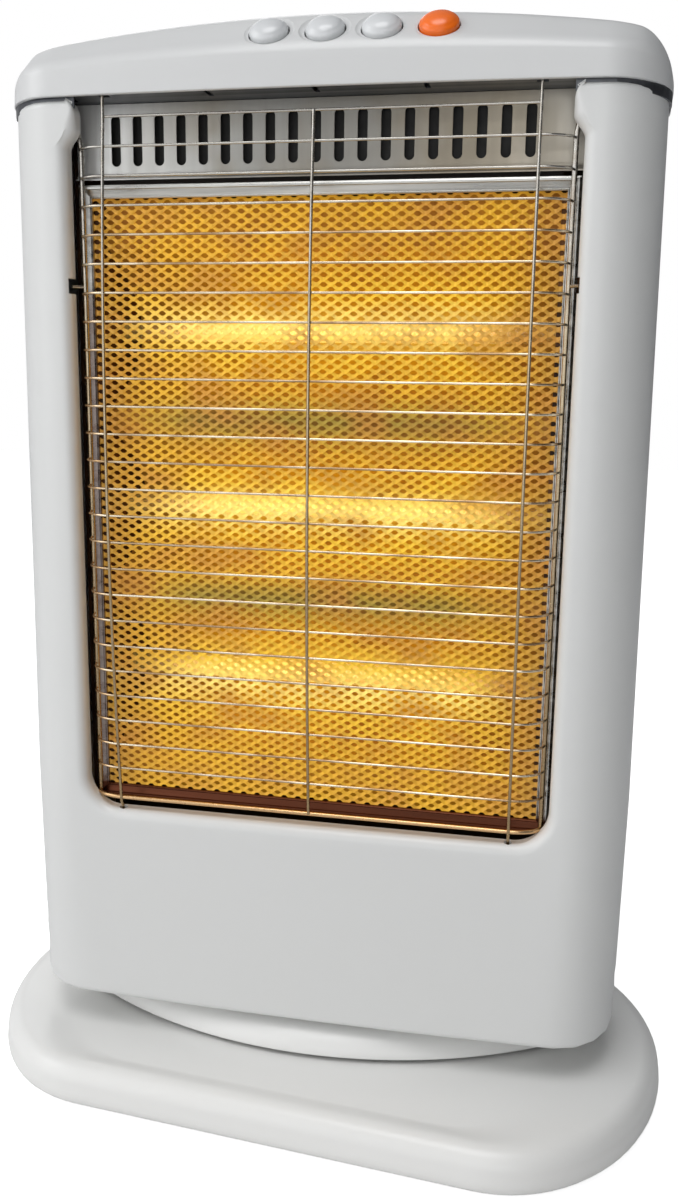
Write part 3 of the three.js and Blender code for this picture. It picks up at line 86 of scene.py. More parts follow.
# opening of the front panel
OPENING_HALF = 117.2 * MM
OPENING_BOTTOM = 146.4 * MM
OPENING_CORNER = 17 * MM
LIP_ROUND = 5 * MM
LIP_FADE = 12 * MM
FLANGE_END = -43.7 * MM
EAR_REACH = 5 * MM
EAR_BOTTOM, EAR_MIDDLE = mm(467, 476.5)
EAR_TOP_ROUND = 7 * MM
EAR_TOP_TURN = 0.42 * pi
PANEL_TOP = body_high.z + 3.8 * MM
TOP_ROUND = 3 * MM
HOOK_SLOT = {"z": 406.5 * MM, "height": 7 * MM, "front": -49.6 * MM, "reach": 2.4 * MM}
ROD_SEAT = {"y": -47.2 * MM, "radius": 2.1 * MM, "depth": 6 * MM}

# how far the sides lean in at the bottom and the top, and where the lean fades out towards the back
TAPER = mm(-1.2, 3.6)
TAPER_HEIGHTS = mm(40, 530)
TAPER_FADE = mm(6, 34)

# rear cover
VENT_ROWS = [start * MM + k * 14 * MM for start, count in ((270, 8), (92, 3)) for k in range(count)]
VENT_HALF = mm(44, 3)
VENT_X = 56 * MM
GRIP = {"half": 56 * MM, "bottom": 424 * MM, "top": 454 * MM, "depth": 22 * MM, "corner": 8 * MM}
GRIP_WALL = 1.6 * MM
SCREW_X = 140 * MM
SCREW_HEIGHTS = mm(170, 430)
SCREW_HOLE = {"radius": 3.9 * MM, "seat": 2.4 * MM}

# cord gland
GLAND = {"radius": 9.1 * MM, "neck": 8 * MM, "flange": 10.3 * MM, "bore": 3.8 * MM, "hole": 8.3 * MM}

# top cover
COVER_END_ROUND = 18 * MM
COVER_END_DROP = 22 * MM
COVER_FALL = 7 * MM / (115 * MM) ** 2
COVER_OVERHANG = 1.5 * MM
COVER_WALL = 2.1 * MM

# buttons
FACE = Vector(mm(0, -43, 516.75))
FACE_TILT = radians(43)
BUTTON_RADIUS = 8.7 * MM
BUTTON_DOME = 3.7 * MM
BUTTON_SHIFTS = mm(4.6, 4.0, 3.1, 2.0)
BUTTON_LOWERED = 2.2 * MM
BUTTON_GAP = 0.5 * MM
BUTTON_STEM = 3 * MM
DISH = {"margin": 2.6 * MM, "depth": 0.9 * MM}

# wire guard
WIRE_COUNT = 25
WIRE_PITCH = 13 * MM
TOP_WIRE = 481 * MM
BOTTOM_BAR = 152.7 * MM
GUARD_EDGE_Y = -49.4 * MM
GUARD_BULGE = 7.5 * MM
ROD_X = 98.5 * MM
SIDE_ROD_X, SIDE_ROD_TIP_X = mm(113.5, 117.5)
SIDE_ROD_Y = -41 * MM
HOOK_DEPTH = 4.4 * MM
WIRE_RADIUS, ROD_RADIUS, SIDE_ROD_RADIUS, BAR_RADIUS = mm(0.6, 0.75, 1.25, 1.05)

# expanded-metal net and the frame round it
NET_PITCH_X, NET_PITCH_Z = mm(7.2, 4.4)
STRAND_WIDTH, STRAND_THICKNESS = mm(2.15, 0.3)
STRAND_TILT = radians(24)
NET_LIFT = 2.4 * MM
FRAME_SUNK = 1.6 * MM

# louver plate
LOUVER_COUNT = 19
LOUVER_PITCH = 10.74 * MM
LOUVER_HALF_WIDTH = 2.4 * MM
LOUVER_SLOT = mm(462, 485)
LOUVER_SHIFT = -2.7 * MM
LOUVER_DROP = 1.4 * MM
LOUVER_SHEET = 0.6 * MM
LOUVER_BEVEL = 0.15 * MM

# reflector, lamps and the shield behind them
REFLECTOR_SHEET = 0.8 * MM
RIDGE_GAP = 6 * MM
TUBE_OUTER, TUBE_INNER = mm(5.5, 4.5)
COIL = {"turns": 70, "reach": 92 * MM, "radius": 1.5 * MM, "wire": 0.45 * MM}
SHIELD_BOTTOM, SHIELD_TOP = mm(66, 488)
SHIELD_GAP = 4 * MM

# base and neck
BASE_TURN = radians(-5.4)
BASE_HALF = mm(181.4, 104.7)
BASE_END_X = {"front": 80 * MM, "back": 98 * MM}
BASE_FLOOR = 21.6 * MM
BASE_CEILING = 19.3 * MM
TURRET = {"radius": 17 * MM, "top": 27.4 * MM}
PIVOT_BORE = 10.3 * MM
NECK_HALF = mm(152.5, 57)
NECK = {"toe": 24 * MM, "top": 39.4 * MM, "round": 16 * MM}
BODY_FLOOR = mm(41.5, 44)
SHAFT = {"x": 39 * MM, "radius": 4 * MM}


# ---- meshes

def lerp(a, b, t):
    return a + (b - a) * t


def steps(a, b, count):
    """count + 1 even values from a to b."""
    return [lerp(a, b, k / count) for k in range(count + 1)]


def smooth(value, start=0.0, end=1.0):
    t = min(max((value - start) / (end - start), 0.0), 1.0)
    return t * t * (3 - 2 * t)


def mirrored(point):
    return Vector((-point.x, point.y, point.z))


def level(points, z):
    """Points of a plan at a height."""
    return [Vector((x, y, z)) for x, y in points]


def upright(points, y):
    """Points of an outline in XZ at a depth."""
    return [Vector((x, y, z)) for x, z in points]


def along_y(x, y, z):
    """Place of a turned piece whose axis looks to the back."""
    return Matrix.Translation((x, y, z)) @ Matrix.Rotation(-pi / 2, 4, "X")


def circle(radius, height, place, count):
    angles = (2 * pi * k / count for k in range(count))
    return [place @ Vector((radius * cos(a), radius * sin(a), height)) for a in angles]


def quadratic(p0, p1, p2, count):
    """Points of a quadratic curve after its first."""
    return [tuple((1 - t) ** 2 * a + 2 * t * (1 - t) * b + t * t * c for a, b, c in zip(p0, p1, p2))
            for t in (k / count for k in range(1, count + 1))]


def rounded_rectangle(x0, x1, z0, z1, radius, count=8):
    points = []
    for quarter, (cx, cz) in enumerate(((x1 - radius, z1 - radius), (x0 + radius, z1 - radius),
                                        (x0 + radius, z0 + radius), (x1 - radius, z0 + radius))):
        for k in range(count + 1):
            angle = pi / 2 * (quarter + k / count)
            points.append((cx + radius * cos(angle), cz + radius * sin(angle)))
    return points


def obround(cx, cz, half_x, half_z):
    """Outline of a slot with round ends along its longer side, in XZ."""
    points = rounded_rectangle(cx - half_x, cx + half_x, cz - half_z, cz + half_z, min(half_x, half_z), 12)
    return [p for k, p in enumerate(points) if dist(p, points[k - 1]) > 1e-7]


def edge_inset(distance, radius):
    """How far a rounded edge draws in at a distance from it."""
    if distance >= radius:
        return 0.0
    return radius - sqrt(max(0.0, radius ** 2 - (radius - distance) ** 2))


def edge_steps(radius, count=5):
    """Distances from an edge that follow its rounding evenly, ending at the edge."""
    return [radius * (1 - sin(a)) for a in steps(0, pi / 2, count)]


def linked(name, data):
    obj = bpy.data.objects.new(name, data)
    bpy.context.scene.collection.objects.link(obj)
    return obj


def recalculated(mesh):
    """Merges the doubled points of a mesh and turns its faces outwards."""
    bm = bmesh.new()
    bm.from_mesh(mesh)
    bmesh.ops.remove_doubles(bm, verts=bm.verts, dist=1e-7)
    bmesh.ops.recalc_face_normals(bm, faces=bm.faces)
    bm.to_mesh(mesh)
    bm.free()


def baked(obj):
    """A mesh of an object as its modifiers or its curve make it."""
    graph = bpy.context.evaluated_depsgraph_get()
    return bpy.data.meshes.new_from_object(obj.evaluated_get(graph), depsgraph=graph)


def applied(obj):
    """Bakes an object's modifiers into its mesh."""
    mesh, old = baked(obj), obj.data
    obj.modifiers.clear()
    obj.data = mesh
    bpy.data.meshes.remove(old)
    return obj


def thickened(obj, thickness, offset=-1):
    """Gives a sheet its wall, on the inner side unless the offset says otherwise."""
    solidify = obj.modifiers.new("wall", "SOLIDIFY")
    solidify.thickness = thickness
    solidify.offset = offset
    return applied(obj)


def cut(obj, cutter, operation="DIFFERENCE"):
    recalculated(cutter.data)
    boolean = obj.modifiers.new("cut", "BOOLEAN")
    boolean.operation = operation
    boolean.solver = "EXACT"
    boolean.object = cutter
    applied(obj)
    bpy.data.objects.remove(cutter)


def settle(obj, slot, *nodes, paint=None, body="heater", sharp=35):
    """Shades a finished mesh, paints it and hands it to the body that carries it."""
    mesh = obj.data
    recalculated(mesh)
    mesh.materials.clear()
    mesh.materials.append(paint or PAINTS[slot])
    mesh.shade_smooth()
    mesh.set_sharp_from_angle(angle=radians(sharp))
    weighted = obj.modifiers.new("even shading", "WEIGHTED_NORMAL")
    weighted.keep_sharp = True
    if nodes:
        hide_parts(*nodes)
    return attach(obj, body)


class Shape:
    """Vertices and faces that are gathered piece by piece."""

    def __init__(self):
        self.verts = []
        self.faces = []

    def add(self, verts, faces):
        start = len(self.verts)
        self.verts.extend(Vector(v) for v in verts)
        self.faces.extend([start + i for i in face] for face in faces)
        return self

    def grid(self, rows, closed_rows=False, closed_columns=True, caps=False):
        """Quads through rows of equal length."""
        n, m = len(rows), len(rows[0])
        faces = []
        for i in range(n if closed_rows else n - 1):
            for j in range(m if closed_columns else m - 1):
                a, b = i * m + j, i * m + (j + 1) % m
                c, d = ((i + 1) % n) * m + (j + 1) % m, ((i + 1) % n) * m + j
                faces.append([a, b, c, d])
        if caps:
            faces.append(list(range(m)))
            faces.append([(n - 1) * m + j for j in range(m)])
        return self.add([p for row in rows for p in row], faces)

    def close(self, count, forward=False):
        """Face over the last count points."""
        face = list(range(len(self.verts) - count, len(self.verts)))
        self.faces.append(face if forward else face[::-1])

    def box(self, low, high):
        verts = [(x, y, z) for x in (low[0], high[0]) for y in (low[1], high[1]) for z in (low[2], high[2])]
        faces = [[0, 1, 3, 2], [4, 6, 7, 5], [0, 4, 5, 1], [2, 3, 7, 6], [0, 2, 6, 4], [1, 5, 7, 3]]
        return self.add(verts, faces)

    def lathe(self, profile, place=Matrix.Identity(4), segments=64):
        """Turns [radius, height] pairs about Z; a radius of 0 closes the end."""
        return self.grid([circle(max(radius, 1e-6), height, place, segments) for radius, height in profile],
                         caps=True)

    def cylinder(self, radius, low, high, place=Matrix.Identity(4), segments=64):
        return self.lathe([(0, low), (radius, low), (radius, high), (0, high)], place, segments)

    def prism(self, outline, y0, y1):
        """Pushes an outline in XZ along Y."""
        return self.grid([upright(outline, y) for y in (y0, y1)], caps=True)

    def tube(self, points, radius, sides=10):
        """A round wire along points."""
        rings = []
        side = None
        for k, point in enumerate(points):
            ahead = points[min(k + 1, len(points) - 1)] - points[max(k - 1, 0)]
            ahead.normalize()
            if side is None:
                side = ahead.orthogonal().normalized()
            side = (side - ahead * side.dot(ahead)).normalized()
            other = ahead.cross(side)
            rings.append([
                point + radius * (side * cos(a) + other * sin(a))
                for a in (2 * pi * i / sides for i in range(sides))
            ])
        return self.grid(rings, caps=True)

    def make(self, name, outwards=False):
        mesh = bpy.data.meshes.new(name)
        mesh.from_pydata([tuple(v) for v in self.verts], [], self.faces)
        mesh.update()
        if outwards:
            recalculated(mesh)
        return linked(name, mesh)


# ---- plan of the body

def half_plan():
    """Right half of the body's plan from mid front to mid back: (point, normal) pairs."""
    flat = HALF_WIDTH - FRONT_CORNER[0]
    samples = []
    for x in steps(0, flat, 30):
        slope = 2 * BOW * x / flat ** 2
        samples.append(((x, FRONT_Y + BOW * (x / flat) ** 2), Vector((slope, -1)).normalized()))
    centre = (flat, FRONT_Y + BOW + FRONT_CORNER[1])
    for angle in steps(0, pi / 2, 48)[1:]:
        s, c = sin(angle), cos(angle)
        normal = Vector((s / FRONT_CORNER[0], -c / FRONT_CORNER[1])).normalized()
        samples.append(((centre[0] + FRONT_CORNER[0] * s, centre[1] - FRONT_CORNER[1] * c), normal))
    back = BACK_Y - BACK_CORNER
    for y in steps(centre[1], back, 12)[1:]:
        samples.append(((HALF_WIDTH, y), Vector((1, 0))))
    for angle in steps(0, pi / 2, 40)[1:]:
        s, c = sin(angle), cos(angle)
        samples.append(((HALF_WIDTH - BACK_CORNER * (1 - c), back + BACK_CORNER * s), Vector((c, s))))
    for x in steps(HALF_WIDTH - BACK_CORNER, 0, 20)[1:]:
        samples.append(((x, BACK_Y), Vector((0, 1))))
    return samples


PLAN = half_plan()
PLAN_LENGTHS = [0.0]
for (here, _), (before, _) in zip(PLAN[1:], PLAN):
    PLAN_LENGTHS.append(PLAN_LENGTHS[-1] + dist(here, before))


def plan_at(length, inset=0.0):
    """Point of the plan at a length from the middle of the front, drawn in by inset."""
    length = min(max(length, 0), PLAN_LENGTHS[-1])
    k = max(i for i, value in enumerate(PLAN_LENGTHS) if value <= length + 1e-12)
    k = min(k, len(PLAN) - 2)
    t = (length - PLAN_LENGTHS[k]) / (PLAN_LENGTHS[k + 1] - PLAN_LENGTHS[k])
    (p, n), (q, m) = PLAN[k], PLAN[k + 1]
    return Vector((lerp(p[0], q[0], t), lerp(p[1], q[1], t))) - (n + (m - n) * t).normalized() * inset


def length_at_x(x):
    """Length along the front at which the plan reaches x."""
    for k in range(1, len(PLAN)):
        if PLAN[k][0][0] >= x:
            t = (x - PLAN[k - 1][0][0]) / (PLAN[k][0][0] - PLAN[k - 1][0][0])
            return lerp(PLAN_LENGTHS[k - 1], PLAN_LENGTHS[k], t)
    return PLAN_LENGTHS[-1]


def length_at_side(y):
    """Length at which the flat side of the plan reaches y."""
    first = next(k for k, (p, _) in enumerate(PLAN) if p[0] >= HALF_WIDTH - 1e-9)
    return PLAN_LENGTHS[first] + y - PLAN[first][0][1]


def drawn_in(obj):
    """Lets the sides lean in towards the top, outside the opening and ahead of the back corners."""
    low, high = TAPER_HEIGHTS
    for vertex in obj.data.vertices:
        x, y, z = vertex.co
        lean = lerp(TAPER[0], TAPER[1], (z - low) / (high - low))
        share = smooth(abs(x), OPENING_HALF, HALF_WIDTH) * (1 - smooth(y, *TAPER_FADE))
        vertex.co.x = x - copysign(lean * share, x)
    return obj


# ---- materials

def linear(color):
    """Linear colour of an 8-bit screen colour; a colour of four values is linear already."""
    if len(color) == 4:
        return color
    shares = (value / 255 for value in color)
    return (*(s / 12.92 if s <= 0.04045 else ((s + 0.055) / 1.055) ** 2.4 for s in shares), 1.0)


class Tree:
    """A node tree and short ways to fill it."""

    def __init__(self, tree, coordinates):
        self.nodes, self.links = tree.nodes, tree.links
        self.coordinates = self.node("TexCoord").outputs[coordinates]

    def node(self, kind, **values):
        node = self.nodes.new("ShaderNode" + kind)
        for key, value in values.items():
            setattr(node, key, value)
        return node

    def feed(self, socket, value):
        """Sets a plain value on a socket, or links an output to it."""
        if isinstance(value, (int, float, tuple)):
            socket.default_value = linear(value) if socket.type == "RGBA" else value
        else:
            self.links.new(value, socket)

    def filled(self, node, **values):
        """Feeds the inputs of a node; an underscore in a name stands for a space."""
        for name, value in values.items():
            self.feed(node.inputs[name.replace("_", " ")], value)
        return node.outputs

    def noise(self, scale, stretch=(1, 1, 1), detail=3.0):
        place = self.filled(self.node("Mapping"), Scale=stretch, Vector=self.coordinates)["Vector"]
        return self.filled(self.node("TexNoise"), Scale=scale, Detail=detail, Vector=place)["Fac"]

    def ramp(self, factor, *stops):
        ramp = self.node("ValToRGB")
        elements = ramp.color_ramp.elements
        elements[0].position, elements[1].position = stops[0][0], stops[-1][0]
        elements[0].color, elements[1].color = linear(stops[0][1]), linear(stops[-1][1])
        for position, color in stops[1:-1]:
            elements.new(position).color = linear(color)
        return self.filled(ramp, Fac=factor)["Color"]

    def spread(self, factor, low, high, source=(0.3, 0.7)):
        """A factor carried from the source range to a new one."""
        return self.filled(self.node("MapRange"), Value=factor, From_Min=source[0], From_Max=source[1],
                           To_Min=low, To_Max=high)["Result"]

    def mixed(self, factor, first, second):
        mix = self.node("Mix", data_type="RGBA")
        for socket, value in ((0, factor), (6, first), (7, second)):
            self.feed(mix.inputs[socket], value)
        return mix.outputs[2]

    def axis(self, name):
        return self.filled(self.node("SeparateXYZ"), Vector=self.coordinates)[name]

    def math(self, operation, first, second=0.0):
        node = self.node("Math", operation=operation)
        self.feed(node.inputs[0], first)
        self.feed(node.inputs[1], second)
        return node.outputs["Value"]


class Paint(Tree):
    """A material with its node tree at hand."""

    def __init__(self, name, color, roughness, metallic=0.0):
        self.material = bpy.data.materials.new(name)
        self.material.use_nodes = True
        super().__init__(self.material.node_tree, "Object")
        self.shader = self.nodes["Principled BSDF"]
        self.set(Base_Color=color, Roughness=roughness, Metallic=metallic)

    def set(self, **values):
        self.filled(self.shader, **values)

    def bump(self, height, distance, strength):
        """Roughens the surface, which is the last step of most materials."""
        bump = self.filled(self.node("Bump"), Strength=strength, Distance=distance, Height=height)
        self.set(Normal=bump["Normal"])
        return self.material


def gloss_plastic(name, color, shade, roughness=0.36):
    """Moulded plastic: faint uneven tone, a fine ripple in the gloss."""
    paint = Paint(name, color, roughness)
    paint.set(Coat_Weight=0.15, Coat_Roughness=0.14,
              Base_Color=paint.ramp(paint.noise(5, detail=0), (0.2, shade), (0.8, color)),
              Roughness=paint.spread(paint.noise(40, detail=1), roughness - 0.02, roughness + 0.03))
    return paint.bump(paint.noise(420, detail=2), 0.015 * MM, 0.4)


def brushed_metal(name, dark, bright, stretch, roughness):
    """Rolled sheet: fine streaks along one direction over broad dark and bright patches."""
    paint = Paint(name, bright, roughness, 1.0)
    streaks = paint.noise(260, stretch, detail=4)
    broad = paint.ramp(paint.noise(5.0, (1, 1, 0.4), detail=1), (0.38, dark), (0.62, bright))
    paint.set(Base_Color=paint.mixed(paint.spread(streaks, 0.0, 0.35), broad, dark),
              Roughness=paint.spread(streaks, roughness - 0.08, roughness + 0.14))
    return paint.bump(streaks, 0.03 * MM, 0.6)


def copper_share(paint, reach):
    """Share of the copper tint: below the hooks, and farther than reach to the left of the middle."""
    below = paint.spread(paint.axis("Z"), 1, 0, mm(396, 410))
    left = paint.spread(paint.axis("X"), 1, 0, (-reach - 4 * MM, -reach + 4 * MM))
    return paint.math("MULTIPLY", below, left)


def plated_wire():
    """Cross wires: pale plating that the heat has tinted in patches, copper along the bottom bar; its warm
    tint below and grey at the top are partly a painted reflection of the glow.
    """
    paint = Paint("plated_wire", (226, 212, 184), 0.2, 1.0)
    patches = paint.noise(90, (0.35, 1, 1))
    plating = paint.ramp(patches, (0.38, (176, 148, 112)), (0.6, (244, 232, 206)))
    bottom = paint.spread(paint.axis("Z"), 1, 0, (BOTTOM_BAR + 2 * MM, BOTTOM_BAR + 4 * MM))
    warmth = paint.math("MAXIMUM", copper_share(paint, 104 * MM), bottom)
    # Painted reflection: the plating turns grey towards the top, where no glow lies behind the wires.
    painted_grey_reflection = paint.spread(paint.axis("Z"), 0, 0.85, mm(430, 456))
    plating = paint.mixed(painted_grey_reflection, plating, (178, 178, 175))
    paint.set(Base_Color=paint.mixed(warmth, plating, (214, 176, 130)),
              Roughness=paint.spread(paint.noise(300), 0.16, 0.3))
    return paint.bump(paint.noise(900), 0.02 * MM, 0.4)


def rod_with_painted_reflection():
    """Upright rods: painted darker and browner than the wires, darkest low down, as a painted reflection of
    the dark surroundings.
    """
    paint = Paint("rod_with_painted_reflection", (176, 162, 136), 0.22, 1.0)
    height = paint.spread(paint.axis("Z"), 0, 1, (BOTTOM_BAR, TOP_WIRE))
    # Painted reflection: the height ramp darkens the rods low down in place of the dark surroundings they
    # reflect.
    brown = paint.ramp(height, (0.0, (172, 148, 112)), (0.7, (190, 176, 150)),
                       (0.86, (208, 206, 200)))
    paint.set(Base_Color=paint.mixed(paint.spread(paint.noise(120), 0, 0.5), brown, (146, 126, 98)),
              Roughness=paint.spread(paint.noise(300), 0.18, 0.32))
    return paint.bump(paint.noise(900), 0.02 * MM, 0.4)


def warmed_steel():
    """Frame strip: bright at the top, scorched brown along the bottom and low on the left."""
    paint = Paint("warmed_steel", (214, 214, 210), 0.28, 1.0)
    streaks = paint.noise(240, (0.05, 1, 1), detail=4)
    plain = paint.ramp(streaks, (0.35, (168, 168, 164)), (0.62, (226, 226, 222)))
    bottom = paint.spread(paint.axis("Z"), 1, 0, (rim_low.z + 5 * MM, rim_low.z + 9 * MM))
    warmth = paint.math("MAXIMUM", bottom, paint.math("MULTIPLY", copper_share(paint, 100 * MM), 0.6))
    paint.set(Base_Color=paint.mixed(warmth, plain, (96, 56, 40)),
              Roughness=paint.spread(streaks, 0.2, 0.42))
    return paint.bump(streaks, 0.03 * MM, 0.6)


def scorched_steel():
    paint = Paint("scorched_steel", (70, 50, 36), 0.45, 0.8)
    paint.set(Base_Color=paint.ramp(paint.noise(50), (0.35, (44, 32, 24)), (0.65, (104, 70, 42))))
    return paint.bump(paint.noise(400), 0.03 * MM, 0.6)


def matt_plastic(name, color):
    paint = Paint(name, color, 0.55)
    paint.set(Roughness=paint.spread(paint.noise(180), 0.48, 0.62))
    return paint.bump(paint.noise(1500, detail=2), 0.03 * MM, 0.6)


def ceramic():
    paint = Paint("ceramic", (224, 216, 198), 0.6)
    paint.set(Base_Color=paint.ramp(paint.noise(300), (0.3, (206, 196, 176)),
                                    (0.65, (232, 226, 212))))
    return paint.bump(paint.noise(1200), 0.03 * MM, 0.6)


# Colours of the painted glow: the lamps' light painted on the net and the reflector.
NET_PAINTED_GLOW = {"lamp": (236, 210, 112), "near": (218, 176, 48), "far": (204, 156, 40),
              "ridge": (146, 124, 48), "side": (186, 138, 44), "end": (158, 118, 54),
              "stain": (176, 120, 52)}
REFLECTOR_PAINTED_GLOW = {"lamp": (240, 206, 84), "near": (208, 156, 30), "far": (172, 122, 26),
                    "ridge": (116, 96, 36), "side": (158, 106, 32), "end": (122, 82, 32),
                    "stain": (140, 90, 30)}
GLOW_REACH = 13 * MM


def painted_glow_color(paint, shades, lift):
    """Painted lamp light by height and width: pale at the lamps, olive at the ridges between them, brown at
    the ends where the light falls off.
    """
    low, high = reflector_low.z, reflector_high.z
    height = paint.spread(paint.axis("Z"), 0, 1, (low, high))
    far = shades["far"]
    marks = [(z + share * GLOW_REACH, shade) for z in LAMP_HEIGHTS
             for share, shade in ((-2.3, "far"), (-1, "near"), (0, "lamp"), (1, "near"), (2.1, "far"))]
    marks += [((lower + upper) / 2, "ridge") for upper, lower in zip(LAMP_HEIGHTS, LAMP_HEIGHTS[1:])]
    stops = [(0.0, far), (1.0, far)]
    stops += [(min(max((z + lift - low) / (high - low), 0), 1), shades[shade]) for z, shade in marks]
    stops.sort(key=lambda stop: stop[0])
    middle = paint.ramp(height, *stops)
    width = paint.math("ABSOLUTE", paint.axis("X"))
    ends = paint.ramp(paint.spread(width, 0, 1, (0, net_high.x)),
                      (0.0, far), (0.7, far), (0.85, shades["side"]), (1.0, shades["end"]))
    glow = paint.mixed(paint.spread(width, 0.0, 0.9, mm(62, 98)), middle, ends)
    stains = paint.spread(paint.noise(30, (1, 1, 1.6), detail=5), 0.0, 0.7, (0.44, 0.66))
    return paint.mixed(stains, glow, shades["stain"])


def metal_with_painted_glow(name, shades, strength, roughness, lift=0.0):
    """Bright metal with painted lamp light: its base colour and its emission paint the lamps' glow on it,
    though it is no lamp.
    """
    paint = Paint(name, shades["far"], roughness, 0.4)
    glow = painted_glow_color(paint, shades, lift)
    flicker = paint.spread(paint.noise(300, detail=2), 0.75 * strength, 1.2 * strength)
    paint.set(Base_Color=glow, Emission_Color=glow, Emission_Strength=flicker)
    return paint.bump(paint.noise(400), 0.05 * MM, 0.7)


def lamp_glow(paint, color, low, high):
    """Uneven glow that fades towards the ends of a lamp."""
    uneven = paint.spread(paint.noise(36, (0.4, 1, 1)), low, high)
    fade = paint.spread(paint.math("ABSOLUTE", paint.axis("X")), 1, 0.1, mm(58, 92))
    paint.set(Emission_Color=color, Emission_Strength=paint.math("MULTIPLY", uneven, fade))
    return paint.material


def quartz():
    paint = Paint("quartz", (255, 240, 200), 0.03)
    paint.set(Transmission_Weight=0.9, IOR=1.46)
    return lamp_glow(paint, (250, 226, 132), 0.12, 0.3)


def filament():
    return lamp_glow(Paint("filament", (255, 210, 130), 0.5), (255, 238, 172), 0.5, 0.9)


def punched_sheet_painted_reflection():
    """Louver plate: a painted reflection across it, pale at the left and grey in the middle, with faint brown
    patches away from the left.
    """
    paint = Paint("punched_sheet_painted_reflection", (196, 196, 192), 0.36, 0.55)
    across = paint.spread(paint.axis("X"), 0, 1, (louver_low.x, louver_high.x))
    # Painted reflection: the tone across the plate stands in for what it reflects, pale at the left, grey in
    # the middle, lighter again at the right.
    tone = paint.ramp(across, (0.0, (240, 240, 238)), (0.12, (226, 226, 223)),
                      (0.34, (172, 171, 166)), (0.6, (160, 157, 150)),
                      (0.85, (186, 176, 158)), (1.0, (204, 200, 190)))
    grain = paint.noise(240, (1, 1, 0.06), detail=4)
    patches = paint.spread(paint.noise(24, detail=3), 0, 0.6, (0.45, 0.65))
    spotted = paint.mixed(patches, tone, (150, 138, 116))
    pale = paint.mixed(paint.spread(across, 1, 0, (0.08, 0.3)), spotted, tone)
    paint.set(Base_Color=paint.mixed(paint.math("MULTIPLY", grain, 0.3), pale, (120, 118, 112)),
              Roughness=paint.spread(grain, 0.28, 0.46))
    return paint.bump(grain, 0.03 * MM, 0.5)


PAINTS = {
    "shell": gloss_plastic("shell_plastic", (221, 222, 221), (219, 220, 219)),
    # The cover's white is a darker copy of the shell's white: painted shade on the cover's sloping face and
    # top.
    "cover": gloss_plastic("cover_plastic_shaded_copy", (213, 214, 214), (211, 212, 212)),
    # The base's white is a lighter copy of the shell's white: painted light that brightens the base and the
    # neck under the body.
    "base": gloss_plastic("base_plastic_lit_copy", (234, 234, 232), (232, 232, 230)),
    "button_white": gloss_plastic("button_white_plastic", (218, 220, 221), (210, 212, 214), 0.24),
    "button_orange": gloss_plastic("button_orange_plastic", (250, 120, 22), (240, 98, 12), 0.24),
    "guard_chrome": plated_wire(),
    "sheet_steel": brushed_metal("rolled_steel", (132, 134, 134), (226, 227, 225), (1, 1, 0.04), 0.26),
    "dark_steel": brushed_metal("dark_sheet", (74, 76, 80), (122, 124, 128), (0.03, 1, 1), 0.4),
    "net_gold": metal_with_painted_glow("net_metal_painted_glow", NET_PAINTED_GLOW, 0.47, 0.38, MM),
    "reflector_gold": metal_with_painted_glow("reflector_metal_painted_glow", REFLECTOR_PAINTED_GLOW, 0.34, 0.3),
    "quartz": quartz(),
    "filament": filament(),
    "ceramic": ceramic(),
    "dark_plastic": matt_plastic("dark_moulding", (34, 35, 37)),
    "rubber": matt_plastic("foot_rubber", (24, 24, 25)),
}

for entry in frame["record"]["subparts"]:
    node = frame["nodes"][entry["node"]]
    node.data.materials.clear()
    node.data.materials.append(PAINTS[entry["material_slot"]])
for side in ("left", "right"):
    for name in (f"reflector_end_{side}", f"lamp_bracket_{side}"):
        frame["nodes"][name].data.materials[0] = scorched_steel()


# ---- front panel

def opening_edge():
    """Right half of the opening's outline from bottom middle to pillar top: (x, z, normal) triples."""
    corner_x = OPENING_HALF - OPENING_CORNER
    corner_z = OPENING_BOTTOM + OPENING_CORNER
    ear_x, round_start = OPENING_HALF - EAR_REACH, PANEL_TOP - EAR_TOP_ROUND
    edge = [(x, OPENING_BOTTOM) for x in steps(0, corner_x, 18)]
    edge += [(corner_x + OPENING_CORNER * cos(angle), corner_z + OPENING_CORNER * sin(angle))
             for angle in steps(-pi / 2, 0, 16)[1:]]
    edge += [(OPENING_HALF, z) for z in steps(corner_z, EAR_BOTTOM, 14)[1:]]
    edge += [(OPENING_HALF - EAR_REACH * smooth(t), lerp(EAR_BOTTOM, EAR_MIDDLE, t))
             for t in steps(0, 1, 12)[1:]]
    edge.append((ear_x, round_start))
    edge += [(ear_x + 0.62 * EAR_TOP_ROUND * (1 - cos(angle)),
              round_start + EAR_TOP_ROUND * sin(angle) / sin(EAR_TOP_TURN))
             for angle in steps(0, EAR_TOP_TURN, 8)[1:]]
    out = []
    for k, (x, z) in enumerate(edge):
        (ax, az), (bx, bz) = edge[max(k - 1, 0)], edge[min(k + 1, len(edge) - 1)]
        along = Vector((bx - ax, bz - az)).normalized()
        out.append((x, z, Vector((along.y, -along.x))))
    return out


